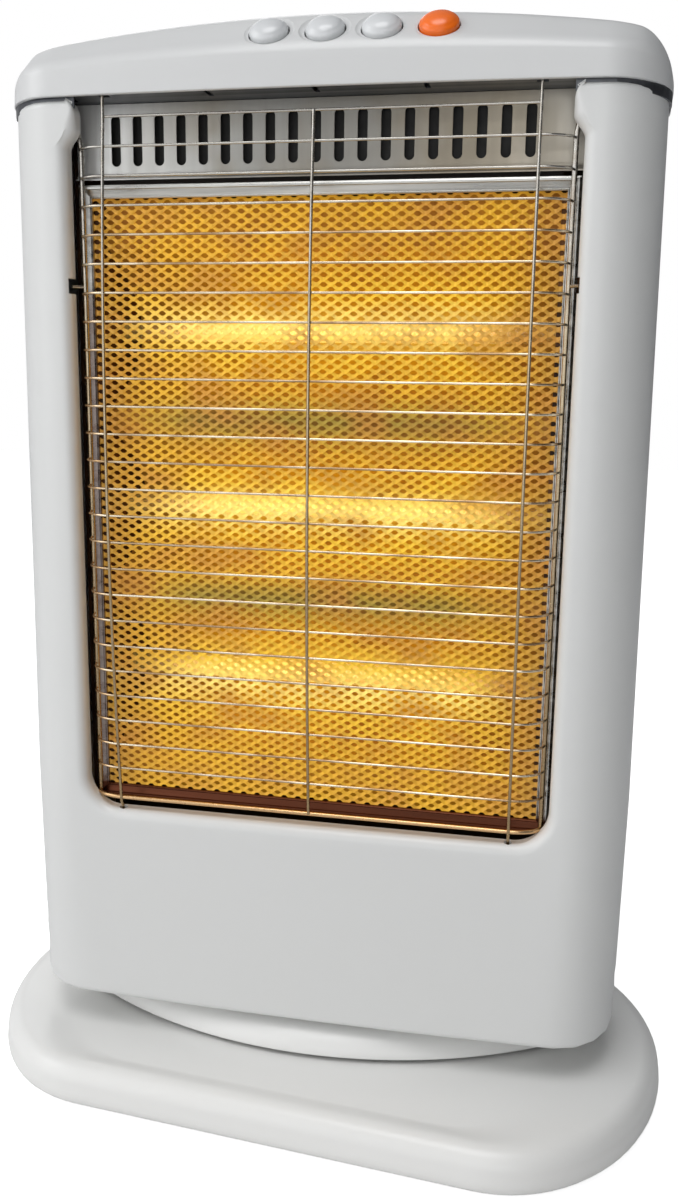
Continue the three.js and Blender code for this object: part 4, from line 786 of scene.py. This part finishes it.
def front_columns():
    """Rows of points of the right half of the panel, one for each point of the opening's edge."""
    seam = length_at_side(SEAM_Y)
    bottom, top = body_low.z, PANEL_TOP
    corner_x = OPENING_HALF - OPENING_CORNER
    corner_z = OPENING_BOTTOM + OPENING_CORNER

    def on_surface(length, z):
        inset = (edge_inset(z - bottom, EDGE_ROUND) + edge_inset(top - z, TOP_ROUND)
                 + edge_inset(seam - length, SEAM_ROUND))
        x, y = plan_at(length, inset)
        return Vector((x, y, z))

    columns = []
    for x, z, normal in opening_edge():
        roll = LIP_ROUND * min(1.0, max(0.3, (top - z) / LIP_FADE))
        start = (length_at_x(x + normal.x * roll), min(z + normal.y * roll, top))
        if normal.x < 1e-6 and x < corner_x:
            end = (start[0], bottom)
        elif z < corner_z - 1e-9:
            angle = atan2(normal.x, -normal.y) / (pi / 2)
            if angle < 0.5:
                end = (lerp(length_at_x(corner_x), seam, angle * 2), bottom)
            else:
                end = (seam, lerp(bottom, corner_z, angle * 2 - 1))
        else:
            end = (seam, min(z, top))
            start = (start[0], min(z, top))
        run = dist(start, end)
        last = EDGE_ROUND if end[1] == bottom else SEAM_ROUND
        shares = steps(0, 1 - last / run, 46)[:-1] + [1 - d / run for d in edge_steps(last)]
        front_y = on_surface(start[0], max(min(start[1], top - TOP_ROUND), bottom + EDGE_ROUND)).y
        column = [Vector((x, FLANGE_END, min(z, top)))]
        for angle in steps(pi / 2, 0, 6)[:-1]:
            out = roll * (1 - sin(angle))
            column.append(Vector((x + normal.x * out, front_y + roll * (1 - cos(angle)),
                                  min(z + normal.y * out, top))))
        column += [on_surface(lerp(start[0], end[0], t), lerp(start[1], end[1], t)) for t in shares]
        columns.append(column)
    return columns


def front_panel():
    right = front_columns()
    left = [[mirrored(p) for p in column] for column in reversed(right[1:])]
    skin = Shape().grid(left + right, closed_columns=False)
    panel = thickened(skin.make("front_shell", outwards=True), WALL)
    cutter = Shape()
    for side in SIDES:
        cutter.cylinder(ROD_SEAT["radius"], OPENING_BOTTOM - ROD_SEAT["depth"], OPENING_BOTTOM + MM,
                        Matrix.Translation((side * ROD_X, ROD_SEAT["y"], 0)), 24)
        xs = sorted((side * (OPENING_HALF - MM), side * (OPENING_HALF + HOOK_SLOT["reach"])))
        cutter.box((xs[0], HOOK_SLOT["front"], HOOK_SLOT["z"] - HOOK_SLOT["height"] / 2),
                   (xs[1], FLANGE_END + WALL, HOOK_SLOT["z"] + HOOK_SLOT["height"] / 2))
    cut(panel, cutter.make("front_cutter"))
    settle(drawn_in(panel), "shell", "front_panel")


# ---- rear cover

def grip_outline(shrink):
    half, corner = GRIP["half"] - shrink, max(GRIP["corner"] - shrink, MM)
    return rounded_rectangle(-half, half, GRIP["bottom"] + shrink, GRIP["top"] - shrink, corner)


def rear_cover():
    seam = length_at_side(SEAM_Y + SEAM_GAP)
    bottom, top = rear_low.z, rear_high.z
    lengths = [seam + d for d in reversed(edge_steps(SEAM_ROUND))]
    lengths += steps(seam + SEAM_ROUND, PLAN_LENGTHS[-1], 90)[1:]
    heights = [bottom + d for d in reversed(edge_steps(EDGE_ROUND))]
    heights += steps(bottom + EDGE_ROUND, top - MM, 12)[1:] + [top - d for d in edge_steps(MM)][1:]
    rows = []
    for z in heights:
        ends = edge_inset(z - bottom, EDGE_ROUND) + edge_inset(top - z, MM)
        right = level((plan_at(d, ends + edge_inset(d - seam, SEAM_ROUND)) for d in lengths), z)
        rows.append(right + [mirrored(p) for p in reversed(right[:-1])])
    skin = Shape().grid(rows, closed_columns=False)
    cover = thickened(skin.make("rear_shell", outwards=True), WALL)

    cutter = Shape()
    outlines = [obround(side * VENT_X, z, *VENT_HALF) for z in VENT_ROWS for side in SIDES]
    outlines.append(grip_outline(0))
    for outline in outlines:
        cutter.prism(outline, BACK_Y - 2 * WALL, BACK_Y + WALL)
    gland = sum(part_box("cord_gland"), Vector()) / 2
    cutter.cylinder(GLAND["hole"], 0, 20 * MM, along_y(gland.x, BACK_Y - 10 * MM, gland.z))
    seat_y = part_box("rear_screw_1")[1].y - SCREW_HOLE["seat"]
    for side in SIDES:
        for z in SCREW_HEIGHTS:
            cutter.cylinder(SCREW_HOLE["radius"], 0, 20 * MM, along_y(side * SCREW_X, seat_y, z), 32)
    cut(cover, cutter.make("rear_cutter"))
    settle(drawn_in(cover), "shell", "rear_cover")


def grip_pocket():
    """Pocket behind the grip's hole, its mouth rounded."""
    pocket = Shape()
    floor = BACK_Y - GRIP["depth"]
    walls = ((BACK_Y - 0.2 * MM, -0.6 * MM), (BACK_Y - 0.9 * MM, 0.3 * MM), (BACK_Y - 2.5 * MM, 0.8 * MM),
             (floor + 4 * MM, 1.4 * MM), (floor + MM, 2.6 * MM), (floor, 5.4 * MM))
    rings = [upright(grip_outline(shrink), y) for y, shrink in walls]
    pocket.grid(rings)
    pocket.close(len(rings[0]))
    settle(thickened(pocket.make("rear_grip_pocket"), GRIP_WALL, 1), "shell")


def cord_gland():
    low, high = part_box("cord_gland")
    middle, length = (low + high) / 2, high.y - low.y
    radius, neck, flange, bore = GLAND["radius"], GLAND["neck"], GLAND["flange"], GLAND["bore"]
    profile = [(bore, 0), (radius, 0), (radius, 5 * MM), (neck, 5 * MM), (neck, length - 2.2 * MM),
               (flange, length - 2.2 * MM), (flange, length - 1.2 * MM), (flange - MM, length - 0.3 * MM),
               (flange - 2 * MM, length), (bore + 0.8 * MM, length), (bore, length - 0.8 * MM)]
    place = along_y(middle.x, low.y, middle.z)
    bush = Shape().grid([circle(r, h, place, 48) for r, h in profile], closed_rows=True)
    settle(bush.make("cord_bush"), "dark_plastic", "cord_gland")


# ---- top cover

def cover_profile():
    """Side view at mid width: (share of the depth, share of the height)."""
    front, rear, height = FRONT_Y - COVER_OVERHANG, BACK_Y + COVER_OVERHANG, cover_high.z - cover_low.z
    low, high = mm(-48, 22.6), mm(-38, 31.9)
    points = [(front + 0.5 * MM, 0), (front + 0.12 * MM, 0.25 * MM), (front, 0.8 * MM)]
    points += [(front + 1.4 * MM * t, 14 * MM * t) for t in (0.2, 0.4, 0.6, 0.8, 1)]
    points += quadratic(points[-1], (front + 2.6 * MM, 18.8 * MM), low, 9)
    points += [(lerp(low[0], high[0], t), lerp(low[1], high[1], t)) for t in (0.25, 0.5, 0.75, 1)]
    points += quadratic(high, (high[0] + 6.8 * MM, 38 * MM), (-4 * MM, height), 10)
    points += [(14 * MM * t - 4 * MM * (1 - t), height) for t in (0.5, 1)]
    points += quadratic((14 * MM, height), (rear - 2 * MM, height - MM), (rear, 9 * MM), 16)
    points += [(rear, 4 * MM), (rear, 0.8 * MM), (rear - 0.12 * MM, 0.25 * MM), (rear - 0.5 * MM, 0)]
    return [((y - front) / (rear - front), h / height) for y, h in points]


def plan_span(x, wall):
    """Front and back of the cover's plan at x, drawn in by a wall."""
    out = COVER_OVERHANG - wall
    half = HALF_WIDTH + out
    rx, ry = FRONT_CORNER[0] + out, FRONT_CORNER[1] + out
    back = BACK_CORNER + out
    side = min(abs(x), half)
    corner_y = FRONT_Y + BOW - out

    def fall(past, radius):
        return 1 - sqrt(max(0.0, 1 - (past / radius) ** 2))

    if side <= half - rx:
        front = corner_y - BOW * (1 - (side / (half - rx)) ** 2)
    else:
        front = corner_y + ry * fall(side - half + rx, rx)
    rear = BACK_Y + out - back * fall(max(0.0, side - half + back), back)
    return front, rear


def crest(x, wall):
    """Height of the cover's ridge at x."""
    past = max(0.0, abs(x) - (HALF_WIDTH + COVER_OVERHANG - COVER_END_ROUND)) / (COVER_END_ROUND - wall)
    drop = COVER_END_DROP * (1 - sqrt(max(0.0, 1 - min(past, 1) ** 2)))
    return cover_high.z - cover_low.z - wall - COVER_FALL * x * x - drop


def cover_solid(wall, foot):
    """Solid under the cover's skin, its underside lowered by foot."""
    end = HALF_WIDTH + COVER_OVERHANG - wall
    rows = []
    for angle in steps(-pi / 2, pi / 2, 120):
        x = end * sin(angle)
        front, rear = plan_span(x, wall)
        height = crest(x, wall)
        rows.append([Vector((x, lerp(front, rear, along), cover_low.z + (share * height if share else -foot)))
                     for along, share in cover_profile()])
    return Shape().grid(rows, caps=True)


def stem_place(index):
    low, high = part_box(f"button_{index}")
    middle = Vector(((low.x + high.x) / 2, FACE.y, FACE.z))
    return Matrix.Translation(middle) @ Matrix.Rotation(FACE_TILT, 4, "X")


def button_place(index):
    """The cap stands a little beside its stem."""
    return stem_place(index) @ Matrix.Translation((BUTTON_SHIFTS[index - 1], -BUTTON_LOWERED, 0))


def top_cover():
    cover = cover_solid(0, 0).make("top_shell", outwards=True)
    cut(cover, cover_solid(COVER_WALL, MM).make("cover_hollow"))
    hole = BUTTON_RADIUS + BUTTON_GAP
    depth, margin = DISH["depth"], DISH["margin"]
    bowl = [(hole + margin * t, -depth * (1 - t * t)) for t in steps(0, 1, 6)]
    profile = [mm(0, -8), (hole, -8 * MM), (hole, -depth - 0.4 * MM), (hole + 0.2 * MM, -depth)] + bowl[1:]
    profile += [(hole + margin + MM, 0.9 * MM), (hole + margin + 3 * MM, 9 * MM), mm(0, 9)]
    cutter = Shape()
    for index in (1, 2, 3, 4):
        cutter.lathe(profile, button_place(index), 72)
    cut(cover, cutter.make("cover_cutter"))
    # The cover wears the darker copy of the shell's white, painted shade.
    settle(drawn_in(cover), "shell", "top_cover", paint=PAINTS["cover"], sharp=28)


def buttons():
    inner, flange, shoulder = BUTTON_RADIUS - 1.2 * MM, BUTTON_RADIUS + 1.6 * MM, 1.1 * MM
    profile = [mm(0, -6.9), (flange, -6.9 * MM), (flange, -5.4 * MM), (BUTTON_RADIUS, -5.4 * MM),
               (BUTTON_RADIUS, 0.2 * MM), (BUTTON_RADIUS - 0.25 * MM, 0.8 * MM),
               (BUTTON_RADIUS - 0.7 * MM, 1.3 * MM)]
    profile += [(inner * cos(a), shoulder + (BUTTON_DOME - shoulder) * sin(a))
                for a in steps(0.14, pi / 2, 14)[1:-1]]
    profile.append((0, BUTTON_DOME))
    for index in (1, 2, 3, 4):
        cap = Shape().lathe(profile, button_place(index))
        cap.cylinder(BUTTON_STEM, -14 * MM, -6.8 * MM, stem_place(index), 24)
        name = f"button_{index}"
        slot = "button_orange" if index == 4 else "button_white"
        settle(cap.make(f"button_cap_{index}"), slot, name, body=name, sharp=40)


# ---- base and neck

def base_plan(inset, end_inset=0.0, count=20):
    """Plan of the base: straight front and back, elliptic corners that reach further in at the back."""
    half_x, half_y = BASE_HALF[0] - end_inset, BASE_HALF[1] - inset
    halves = []
    for corner, along in (("front", -1), ("back", 1)):
        reach = BASE_END_X[corner]
        flat = half_x - reach
        half = [(x, along * half_y) for x in steps(0, flat, 7)[:-1]]
        half += [(flat + (reach - inset) * sin(a), along * half_y * cos(a)) for a in steps(0, pi / 2, count)]
        halves.append(half)
    right = halves[0] + halves[1][-2::-1]
    return right + [(-x, y) for x, y in right[-2:0:-1]]


def base_shell():
    """Closed skin from the open underside over the soft rim to the recessed floor."""
    turn = Matrix.Rotation(BASE_TURN, 4, "Z")
    levels = [(3.5, 8), (8.7, 5), (8.7, 2), (7.6, 1.95), (5.6, 2.05), (4.2, 2.6), (2.2, 3.6), (0.9, 5.0),
              (0.25, 6.5), (0, 8.5), (0.2, 11), (0.7, 14)]
    levels += [(0.7 + 9 * (1 - cos(angle)), 14 + 9.4 * sin(angle)) for angle in steps(0, pi / 2, 10)[1:]]
    rim, floor = levels[-1], BASE_FLOOR / MM
    levels += [(rim[0] + 9.5 * t, lerp(rim[1], floor, smooth(t)), 22 * t) for t in steps(0, 1, 10)[1:]]

    def ring(inset, z, end_inset=0.0):
        return [turn @ point for point in level(base_plan(inset, end_inset), z)]

    rows = [ring(*mm(*values)) for values in levels]
    count = len(rows[0])
    shape = Shape().grid(rows)
    shape.close(count, forward=True)
    inner = (mm(3.6, 13), (8 * MM, BASE_CEILING - 2 * MM), (14 * MM, BASE_CEILING))
    shape.grid([rows[0]] + [ring(*values) for values in inner])
    shape.close(count)
    base = shape.make("base_body", outwards=True)
    turret = Shape().cylinder(TURRET["radius"], BASE_CEILING + MM, TURRET["top"])
    cut(base, turret.make("turret"), "UNION")
    cut(base, Shape().cylinder(PIVOT_BORE, 0, 30 * MM).make("bore"))
    # The base wears the lighter copy of the shell's white, painted light.
    settle(base, "shell", "base_shell", paint=PAINTS["base"], body="base", sharp=40)


def neck_plan(inset, count=44):
    """Plan of the neck: a lens of two equal arcs."""
    half_x, half_y = NECK_HALF
    radius = (half_x ** 2 + half_y ** 2) / (2 * half_y)
    depth = half_y - inset
    reduced = radius - inset
    reach = acos((reduced - depth) / reduced)
    points = []
    for start in (-pi / 2, pi / 2):
        offset = reduced - depth if start < 0 else depth - reduced
        arc = steps(start - reach, start + reach, count)[:-1]
        points += [(reduced * cos(a), offset + reduced * sin(a)) for a in arc]
    return points


def neck():
    """Lens-shaped bulge under the body, its toe just clear of the rim."""
    toe, top, round_in = NECK["toe"], NECK["top"], NECK["round"]
    outside = [(1.6 * MM, toe), (0.5 * MM, toe + 0.15 * MM), (0.08 * MM, toe + 0.6 * MM)]
    outside += [(round_in * (1 - cos(a)), toe + (top - 2.5 * MM - toe) * sin(a))
                for a in steps(0, pi / 2, 14)[1:]]
    outside += [(round_in + 1.5 * MM, top + 1.5 * MM), (round_in + 1.5 * MM, 42 * MM)]
    under = [(2.5 * MM, toe), (3 * MM, toe + 2 * MM), (5.5 * MM, top - 7 * MM), (12 * MM, top - 4 * MM),
             (19 * MM, top - 2.8 * MM)]
    rows = [level(neck_plan(inset), z) for inset, z in outside]
    shape = Shape().grid(rows)
    shape.close(len(rows[0]), forward=True)
    shape.grid([rows[0]] + [level(neck_plan(inset), z) for inset, z in under])
    shape.close(len(rows[0]))
    # The neck, a part of the body, wears the base's lighter copy of the white: painted light.
    settle(shape.make("neck_bulge"), "shell", "bottom_cover", paint=PAINTS["base"], sharp=40)


def body_floor():
    """Plate that closes the body above the neck."""
    right = [plan_at(length, WALL + 0.4 * MM) for length in steps(0, PLAN_LENGTHS[-1], 90)]
    outline = [(p.x, p.y) for p in right] + [(-p.x, p.y) for p in reversed(right[1:-1])]
    plate = Shape().grid([level(outline, z) for z in BODY_FLOOR], caps=True).make("body_floor")
    hole = Shape().cylinder(PIVOT_BORE, 0, 60 * MM)
    hole.cylinder(SHAFT["radius"], 0, 60 * MM, Matrix.Translation((SHAFT["x"], 0, 0)), 32)
    cut(drawn_in(plate), hole.make("floor_holes"))
    settle(plate, "shell")


# ---- guard

def guard_y(z):
    across = (2 * z - TOP_WIRE - BOTTOM_BAR) / (TOP_WIRE - BOTTOM_BAR)
    return GUARD_EDGE_Y - GUARD_BULGE * max(0.0, 1 - across ** 2)


def cross_wire(z):
    """From one side rod round to the front plane, across it and round to the other side rod."""
    front = guard_y(z)
    bend = SIDE_ROD_X - ROD_X
    right = [Vector((SIDE_ROD_X - bend * (1 - cos(a)), SIDE_ROD_Y - (SIDE_ROD_Y - front) * sin(a), z))
             for a in steps(0, pi / 2, 10)]
    middle = [Vector((x, front, z)) for x in steps(ROD_X, -ROD_X, 8)[1:-1]]
    return right + middle + [mirrored(p) for p in reversed(right)]


def guard_wires():
    wires = Shape()
    top = guard_y(TOP_WIRE)
    wires.tube([Vector((-ROD_X, top, TOP_WIRE)), Vector((ROD_X, top, TOP_WIRE))], WIRE_RADIUS)
    for k in range(1, WIRE_COUNT):
        wires.tube(cross_wire(TOP_WIRE - k * WIRE_PITCH), WIRE_RADIUS)
    wires.tube(cross_wire(BOTTOM_BAR), BAR_RADIUS, 14)
    settle(wires.make("guard_wires"), "guard_chrome", "guard_grille", sharp=50)


def guard_rods():
    rods = Shape()
    seat = OPENING_BOTTOM - 2 * MM
    for side in (-1, 0, 1):
        low, high = (BOTTOM_BAR, TOP_WIRE) if side == 0 else (BOTTOM_BAR - MM, GUARD_TOP)
        line = [Vector((side * ROD_X, guard_y(z) - ROD_RADIUS, z)) for z in steps(low, high, 30)]
        if side:  # the ends turn back into their seats in the lip
            foot = line[0]
            line = [Vector((foot.x, lerp(ROD_SEAT["y"], foot.y, smooth(t)), lerp(seat, foot.z, t)))
                    for t in steps(0, 1, 8)[:-1]] + line
        rods.tube(line, ROD_RADIUS, 12)
    for side in SIDES:
        x, tip_x = side * SIDE_ROD_X, side * SIDE_ROD_TIP_X
        line = [Vector((x, SIDE_ROD_Y, z)) for z in steps(BOTTOM_BAR, EAR_BOTTOM, 6)[:-1]]
        line += [Vector((side * lerp(SIDE_ROD_X, SIDE_ROD_TIP_X, smooth(t)), SIDE_ROD_Y,
                         lerp(EAR_BOTTOM, PANEL_TOP, t))) for t in steps(0, 1, 12)]
        rods.tube(line + [Vector((tip_x, SIDE_ROD_Y, GUARD_TOP))], SIDE_ROD_RADIUS, 12)
        hook = Vector((side * (OPENING_HALF + MM), SIDE_ROD_Y - HOOK_DEPTH, HOOK_SLOT["z"]))
        rods.tube([Vector((x, SIDE_ROD_Y, HOOK_SLOT["z"])), hook], ROD_RADIUS)
    # The rods' paint darkens them as a painted reflection.
    settle(rods.make("guard_rods"), "guard_chrome", paint=rod_with_painted_reflection(), sharp=50)


# ---- net and its frame

def net():
    """Expanded metal: tilted zigzag strands, each meeting the next at its bonds."""
    half = net_high.x - 0.5 * MM
    low, high = net_low.z - FRAME_SUNK + 0.6 * MM, net_high.z + NET_LIFT - 0.4 * MM
    count = round((high - low) / (NET_PITCH_Z / 2))
    rise = (high - low) / count
    bond = 0.18 * NET_PITCH_X
    middle_y = (net_low.y + net_high.y) / 2
    across = Vector((0, sin(STRAND_TILT), cos(STRAND_TILT))) * STRAND_WIDTH / 2
    through = Vector((0, cos(STRAND_TILT), -sin(STRAND_TILT))) * STRAND_THICKNESS / 2
    section = [across + through, across - through, -across - through, -across + through]
    strands = Shape()
    for k in range(count):
        z = low + (k + 0.5) * rise
        shift = (k % 2) * NET_PITCH_X / 2
        line = []
        cell = -half - NET_PITCH_X
        while cell < half + NET_PITCH_X:
            for middle, dz in ((cell + shift, 1), (cell + shift + NET_PITCH_X / 2, -1)):
                height = z + dz * (rise / 2 - 0.12 * MM)
                line += [(middle - bond / 2, height), (middle + bond / 2, height)]
            cell += NET_PITCH_X
        line = [(min(max(x, -half), half), height) for x, height in line if abs(x) < half + NET_PITCH_X / 2]
        rows = [[Vector((x, middle_y, height)) + offset for offset in section]
                for n, (x, height) in enumerate(line) if n == 0 or x > line[n - 1][0] + 1e-9]
        strands.grid(rows, caps=True)
    settle(strands.make("expanded_net"), "net_gold", "mesh_net", sharp=20)


def net_frame():
    """A closed profile of (inset, y) pairs carried round a rectangle in XZ, with mitred corners."""
    front, back = rim_low.y, rim_high.y
    profile = [(0, back), (0, front + 1.1 * MM), (0.35 * MM, front + 0.35 * MM), (1.1 * MM, front),
               (1.9 * MM, front + 0.2 * MM), (2.2 * MM, front + 0.9 * MM), (5.0 * MM, back - 1.5 * MM),
               (5.4 * MM, back - 1.7 * MM), (5.9 * MM, back - 1.3 * MM), (6 * MM, back)]
    low, high = rim_low - Vector((0, 0, FRAME_SUNK)), rim_high + Vector((0, 0, NET_LIFT))
    rows = [upright(((low.x + inset, low.z + inset), (high.x - inset, low.z + inset),
                     (high.x - inset, high.z - inset), (low.x + inset, high.z - inset)), y)
            for inset, y in profile]
    frame_ring = Shape().grid(rows, closed_rows=True)
    settle(frame_ring.make("net_frame"), "sheet_steel", "mesh_frame", paint=warmed_steel(), sharp=25)


# ---- louver plate

def slotted_sheet(outlines):
    """A thin sheet with eased edges, filled between outlines in XZ, as a mesh."""
    curve = bpy.data.curves.new("slotted_sheet", "CURVE")
    curve.dimensions = "2D"
    curve.fill_mode = "BOTH"
    curve.extrude = LOUVER_SHEET / 2 - LOUVER_BEVEL
    curve.bevel_depth = LOUVER_BEVEL
    curve.bevel_resolution = 2
    for outline in outlines:
        spline = curve.splines.new("POLY")
        spline.points.add(len(outline) - 1)
        spline.use_cyclic_u = True
        for point, (x, z) in zip(spline.points, outline):
            point.co = (x, z, 0, 1)
    flat = linked("slotted_sheet", curve)
    mesh = baked(flat)
    bpy.data.objects.remove(flat)
    return mesh


def louver_plate():
    """Sheet with punched upright slots, its lower edge rolled forward."""
    sheet, half = LOUVER_SHEET, louver_high.x
    front = louver_high.y - sheet
    low = louver_low.z - LOUVER_DROP
    roll = front - louver_low.y - sheet
    edge = low + sheet + roll
    outlines = [[(-half, edge), (half, edge), (half, louver_high.z), (-half, louver_high.z)]]
    middle, reach = sum(LOUVER_SLOT) / 2, (LOUVER_SLOT[1] - LOUVER_SLOT[0]) / 2
    for k in range(LOUVER_COUNT):
        x = (k - (LOUVER_COUNT - 1) / 2) * LOUVER_PITCH + LOUVER_SHIFT
        outlines.append(obround(x, middle, LOUVER_HALF_WIDTH, reach))
    mesh = slotted_sheet(outlines)
    mesh.transform(Matrix.Translation((0, front + sheet / 2, 0)) @ Matrix.Rotation(pi / 2, 4, "X"))
    paint = punched_sheet_painted_reflection()
    settle(linked("louver_sheet", mesh), "sheet_steel", "louver_plate", paint=paint, sharp=30)

    ends = ((-half, roll), (-half, roll + sheet), (half, roll + sheet), (half, roll))
    rows = [[Vector((x, front - roll + reach * cos(angle), edge - reach * sin(angle))) for x, reach in ends]
            for angle in steps(0, 0.45 * pi, 10)]
    settle(Shape().grid(rows, caps=True).make("louver_lip"), "sheet_steel", paint=paint)


# ---- reflector and lamps

def heat_shield():
    """Sheets behind and above the reflector, painted near-black as painted shade, so that no light shows
    through the slots.
    """
    low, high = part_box("heat_shield")
    front = reflector_low.y - SHIELD_GAP
    shape = Shape().box((low.x, low.y, SHIELD_BOTTOM), (high.x, high.y, SHIELD_TOP))
    shape.box((-reflector_high.x, front, reflector_high.z + SHIELD_GAP),
              (reflector_high.x, front + high.y - low.y, SHIELD_TOP))
    # Painted shade: near-black paint for the shade inside the body.
    painted_shade_black = matt_plastic("painted_shade_black", (22, 21, 20))
    settle(shape.make("dark_shield"), "sheet_steel", "heat_shield", paint=painted_shade_black)


def reflector():
    """Three parabolic troughs with narrow flat ridges between them, closed in thickness."""
    ridge, back = reflector_low.y, reflector_high.y - REFLECTOR_SHEET
    half = (LAMP_HEIGHTS[0] - LAMP_HEIGHTS[1]) / 2 - RIDGE_GAP
    line = [(ridge, reflector_high.z + NET_LIFT)]
    for z in LAMP_HEIGHTS:
        line += [(back - (back - ridge) * t * t, z - t * half) for t in steps(-1, 1, 28)]
    line.append((ridge, reflector_low.z - NET_LIFT - FRAME_SUNK))
    section = line + [(y + REFLECTOR_SHEET, z) for y, z in reversed(line)]
    rows = [[Vector((x, y, z)) for y, z in section] for x in steps(reflector_low.x, reflector_high.x, 2)]
    settle(Shape().grid(rows, caps=True).make("reflector_sheet"), "reflector_gold", "reflector", sharp=40)


def lamps():
    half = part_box("lamp_tube_1")[1].x
    reach, radius, count = COIL["reach"], COIL["radius"], COIL["turns"] * 10
    for k, z in enumerate(LAMP_HEIGHTS, 1):
        place = Matrix.Translation((0, 0, z)) @ Matrix.Rotation(pi / 2, 4, "Y")
        walls = ((TUBE_INNER, -half), (TUBE_OUTER, -half), (TUBE_OUTER, half), (TUBE_INNER, half))
        tube = Shape().grid([circle(r, x, place, 40) for r, x in walls], closed_rows=True)
        settle(tube.make(f"lamp_glass_{k}"), "quartz", f"lamp_tube_{k}")

        coil = [Vector((-half, 0, z))]
        for step in range(count + 1):
            x, angle = lerp(-reach, reach, step / count), 2 * pi * step / 10
            coil.append(Vector((x, radius * cos(angle), z + radius * sin(angle))))
        coil.append(Vector((half, 0, z)))
        wire = Shape().tube(coil, COIL["wire"], 6)
        settle(wire.make(f"lamp_coil_{k}"), "filament", f"lamp_filament_{k}", sharp=60)


# ---- floor, light and camera

def stage():
    corners = [(x, y, 0) for x, y in ((-4, -4), (4, -4), (4, 4), (-4, 4))]
    floor = Shape().add(corners, [[0, 1, 2, 3]]).make("floor")
    paint = Paint("floor_paint", (0.8, 0.8, 0.8, 1), 0.9)
    seen = paint.node("LightPath").outputs["Is Camera Ray"]
    paint.set(Specular_IOR_Level=0.0, Emission_Color=(1, 1, 1, 1),
              Emission_Strength=paint.math("MULTIPLY", seen, 0.8))
    floor.data.materials.append(paint.material)


def area_light(name, place, size, power, target=(0, 0, 0.28)):
    light = bpy.data.lights.new(name, "AREA")
    light.shape = "DISK"
    light.size = size
    light.energy = power
    obj = linked(name, light)
    obj.location = place
    obj.rotation_euler = (Vector(target) - Vector(place)).to_track_quat("-Z", "Y").to_euler()


def light_the_scene():
    """A studio that is bright on the left and above and dim on the right, before a white backdrop."""
    area_light("key", (-1.5, -1.6, 0.8), 2.4, 14)
    area_light("front", (0.1, -1.9, 1.9), 1.5, 4)
    area_light("top", (-0.2, -1.2, 3.6), 2.0, 40)
    area_light("side", (-1.7, -0.6, 1.6), 1.2, 7)
    area_light("fill", (0.3, -2.3, 0.3), 1.5, 7.5)
    area_light("back", (-0.6, 1.8, 1.2), 1.2, 5)

    world = bpy.data.worlds.new("studio")
    bpy.context.scene.world = world
    world.use_nodes = True
    world.node_tree.nodes.clear()
    studio = Tree(world.node_tree, "Generated")
    across = studio.spread(studio.axis("X"), 0, 1, (-1, 1))
    sky = studio.ramp(across, (0.0, (1.0, 1.0, 1.02, 1)), (0.35, (0.75, 0.76, 0.78, 1)),
                      (0.6, (0.31, 0.32, 0.335, 1)), (1.0, (0.06, 0.06, 0.065, 1)))
    mix = studio.node("MixShader")
    studio.feed(mix.inputs["Fac"], studio.node("LightPath").outputs["Is Camera Ray"])
    for socket, color, strength in ((1, sky, 0.5), (2, (1, 1, 1, 1), 1.0)):
        background = studio.filled(studio.node("Background"), Color=color, Strength=strength)
        studio.feed(mix.inputs[socket], background["Background"])
    studio.filled(studio.node("OutputWorld"), Surface=mix.outputs["Shader"])
    bpy.context.scene.view_settings.view_transform = "Standard"


def place_camera():
    """Stands where the photograph was taken from."""
    yaw, pitch, roll = (radians(a) for a in (-11.297, -11.592, 0.752))
    forward = Vector((sin(yaw) * cos(pitch), cos(yaw) * cos(pitch), sin(pitch)))
    level_right = Vector((cos(yaw), -sin(yaw), 0))
    level_up = level_right.cross(forward)
    right = cos(roll) * level_right + sin(roll) * level_up
    up = cos(roll) * level_up - sin(roll) * level_right
    camera = bpy.data.cameras.new("camera")
    camera.sensor_fit = "AUTO"
    camera.sensor_width = 36
    camera.lens = 33.56
    obj = linked("camera", camera)
    axes = Matrix((right, up, -forward)).transposed().to_4x4()
    obj.matrix_world = Matrix.Translation((0.1164, -0.5607, 0.369)) @ axes
    bpy.context.scene.camera = obj


for build in (place_camera, light_the_scene, stage, front_panel, rear_cover, grip_pocket, cord_gland,
              top_cover, buttons, base_shell, neck, body_floor, guard_wires, guard_rods, net, net_frame,
              louver_plate, heat_shield, reflector, lamps):
    build()
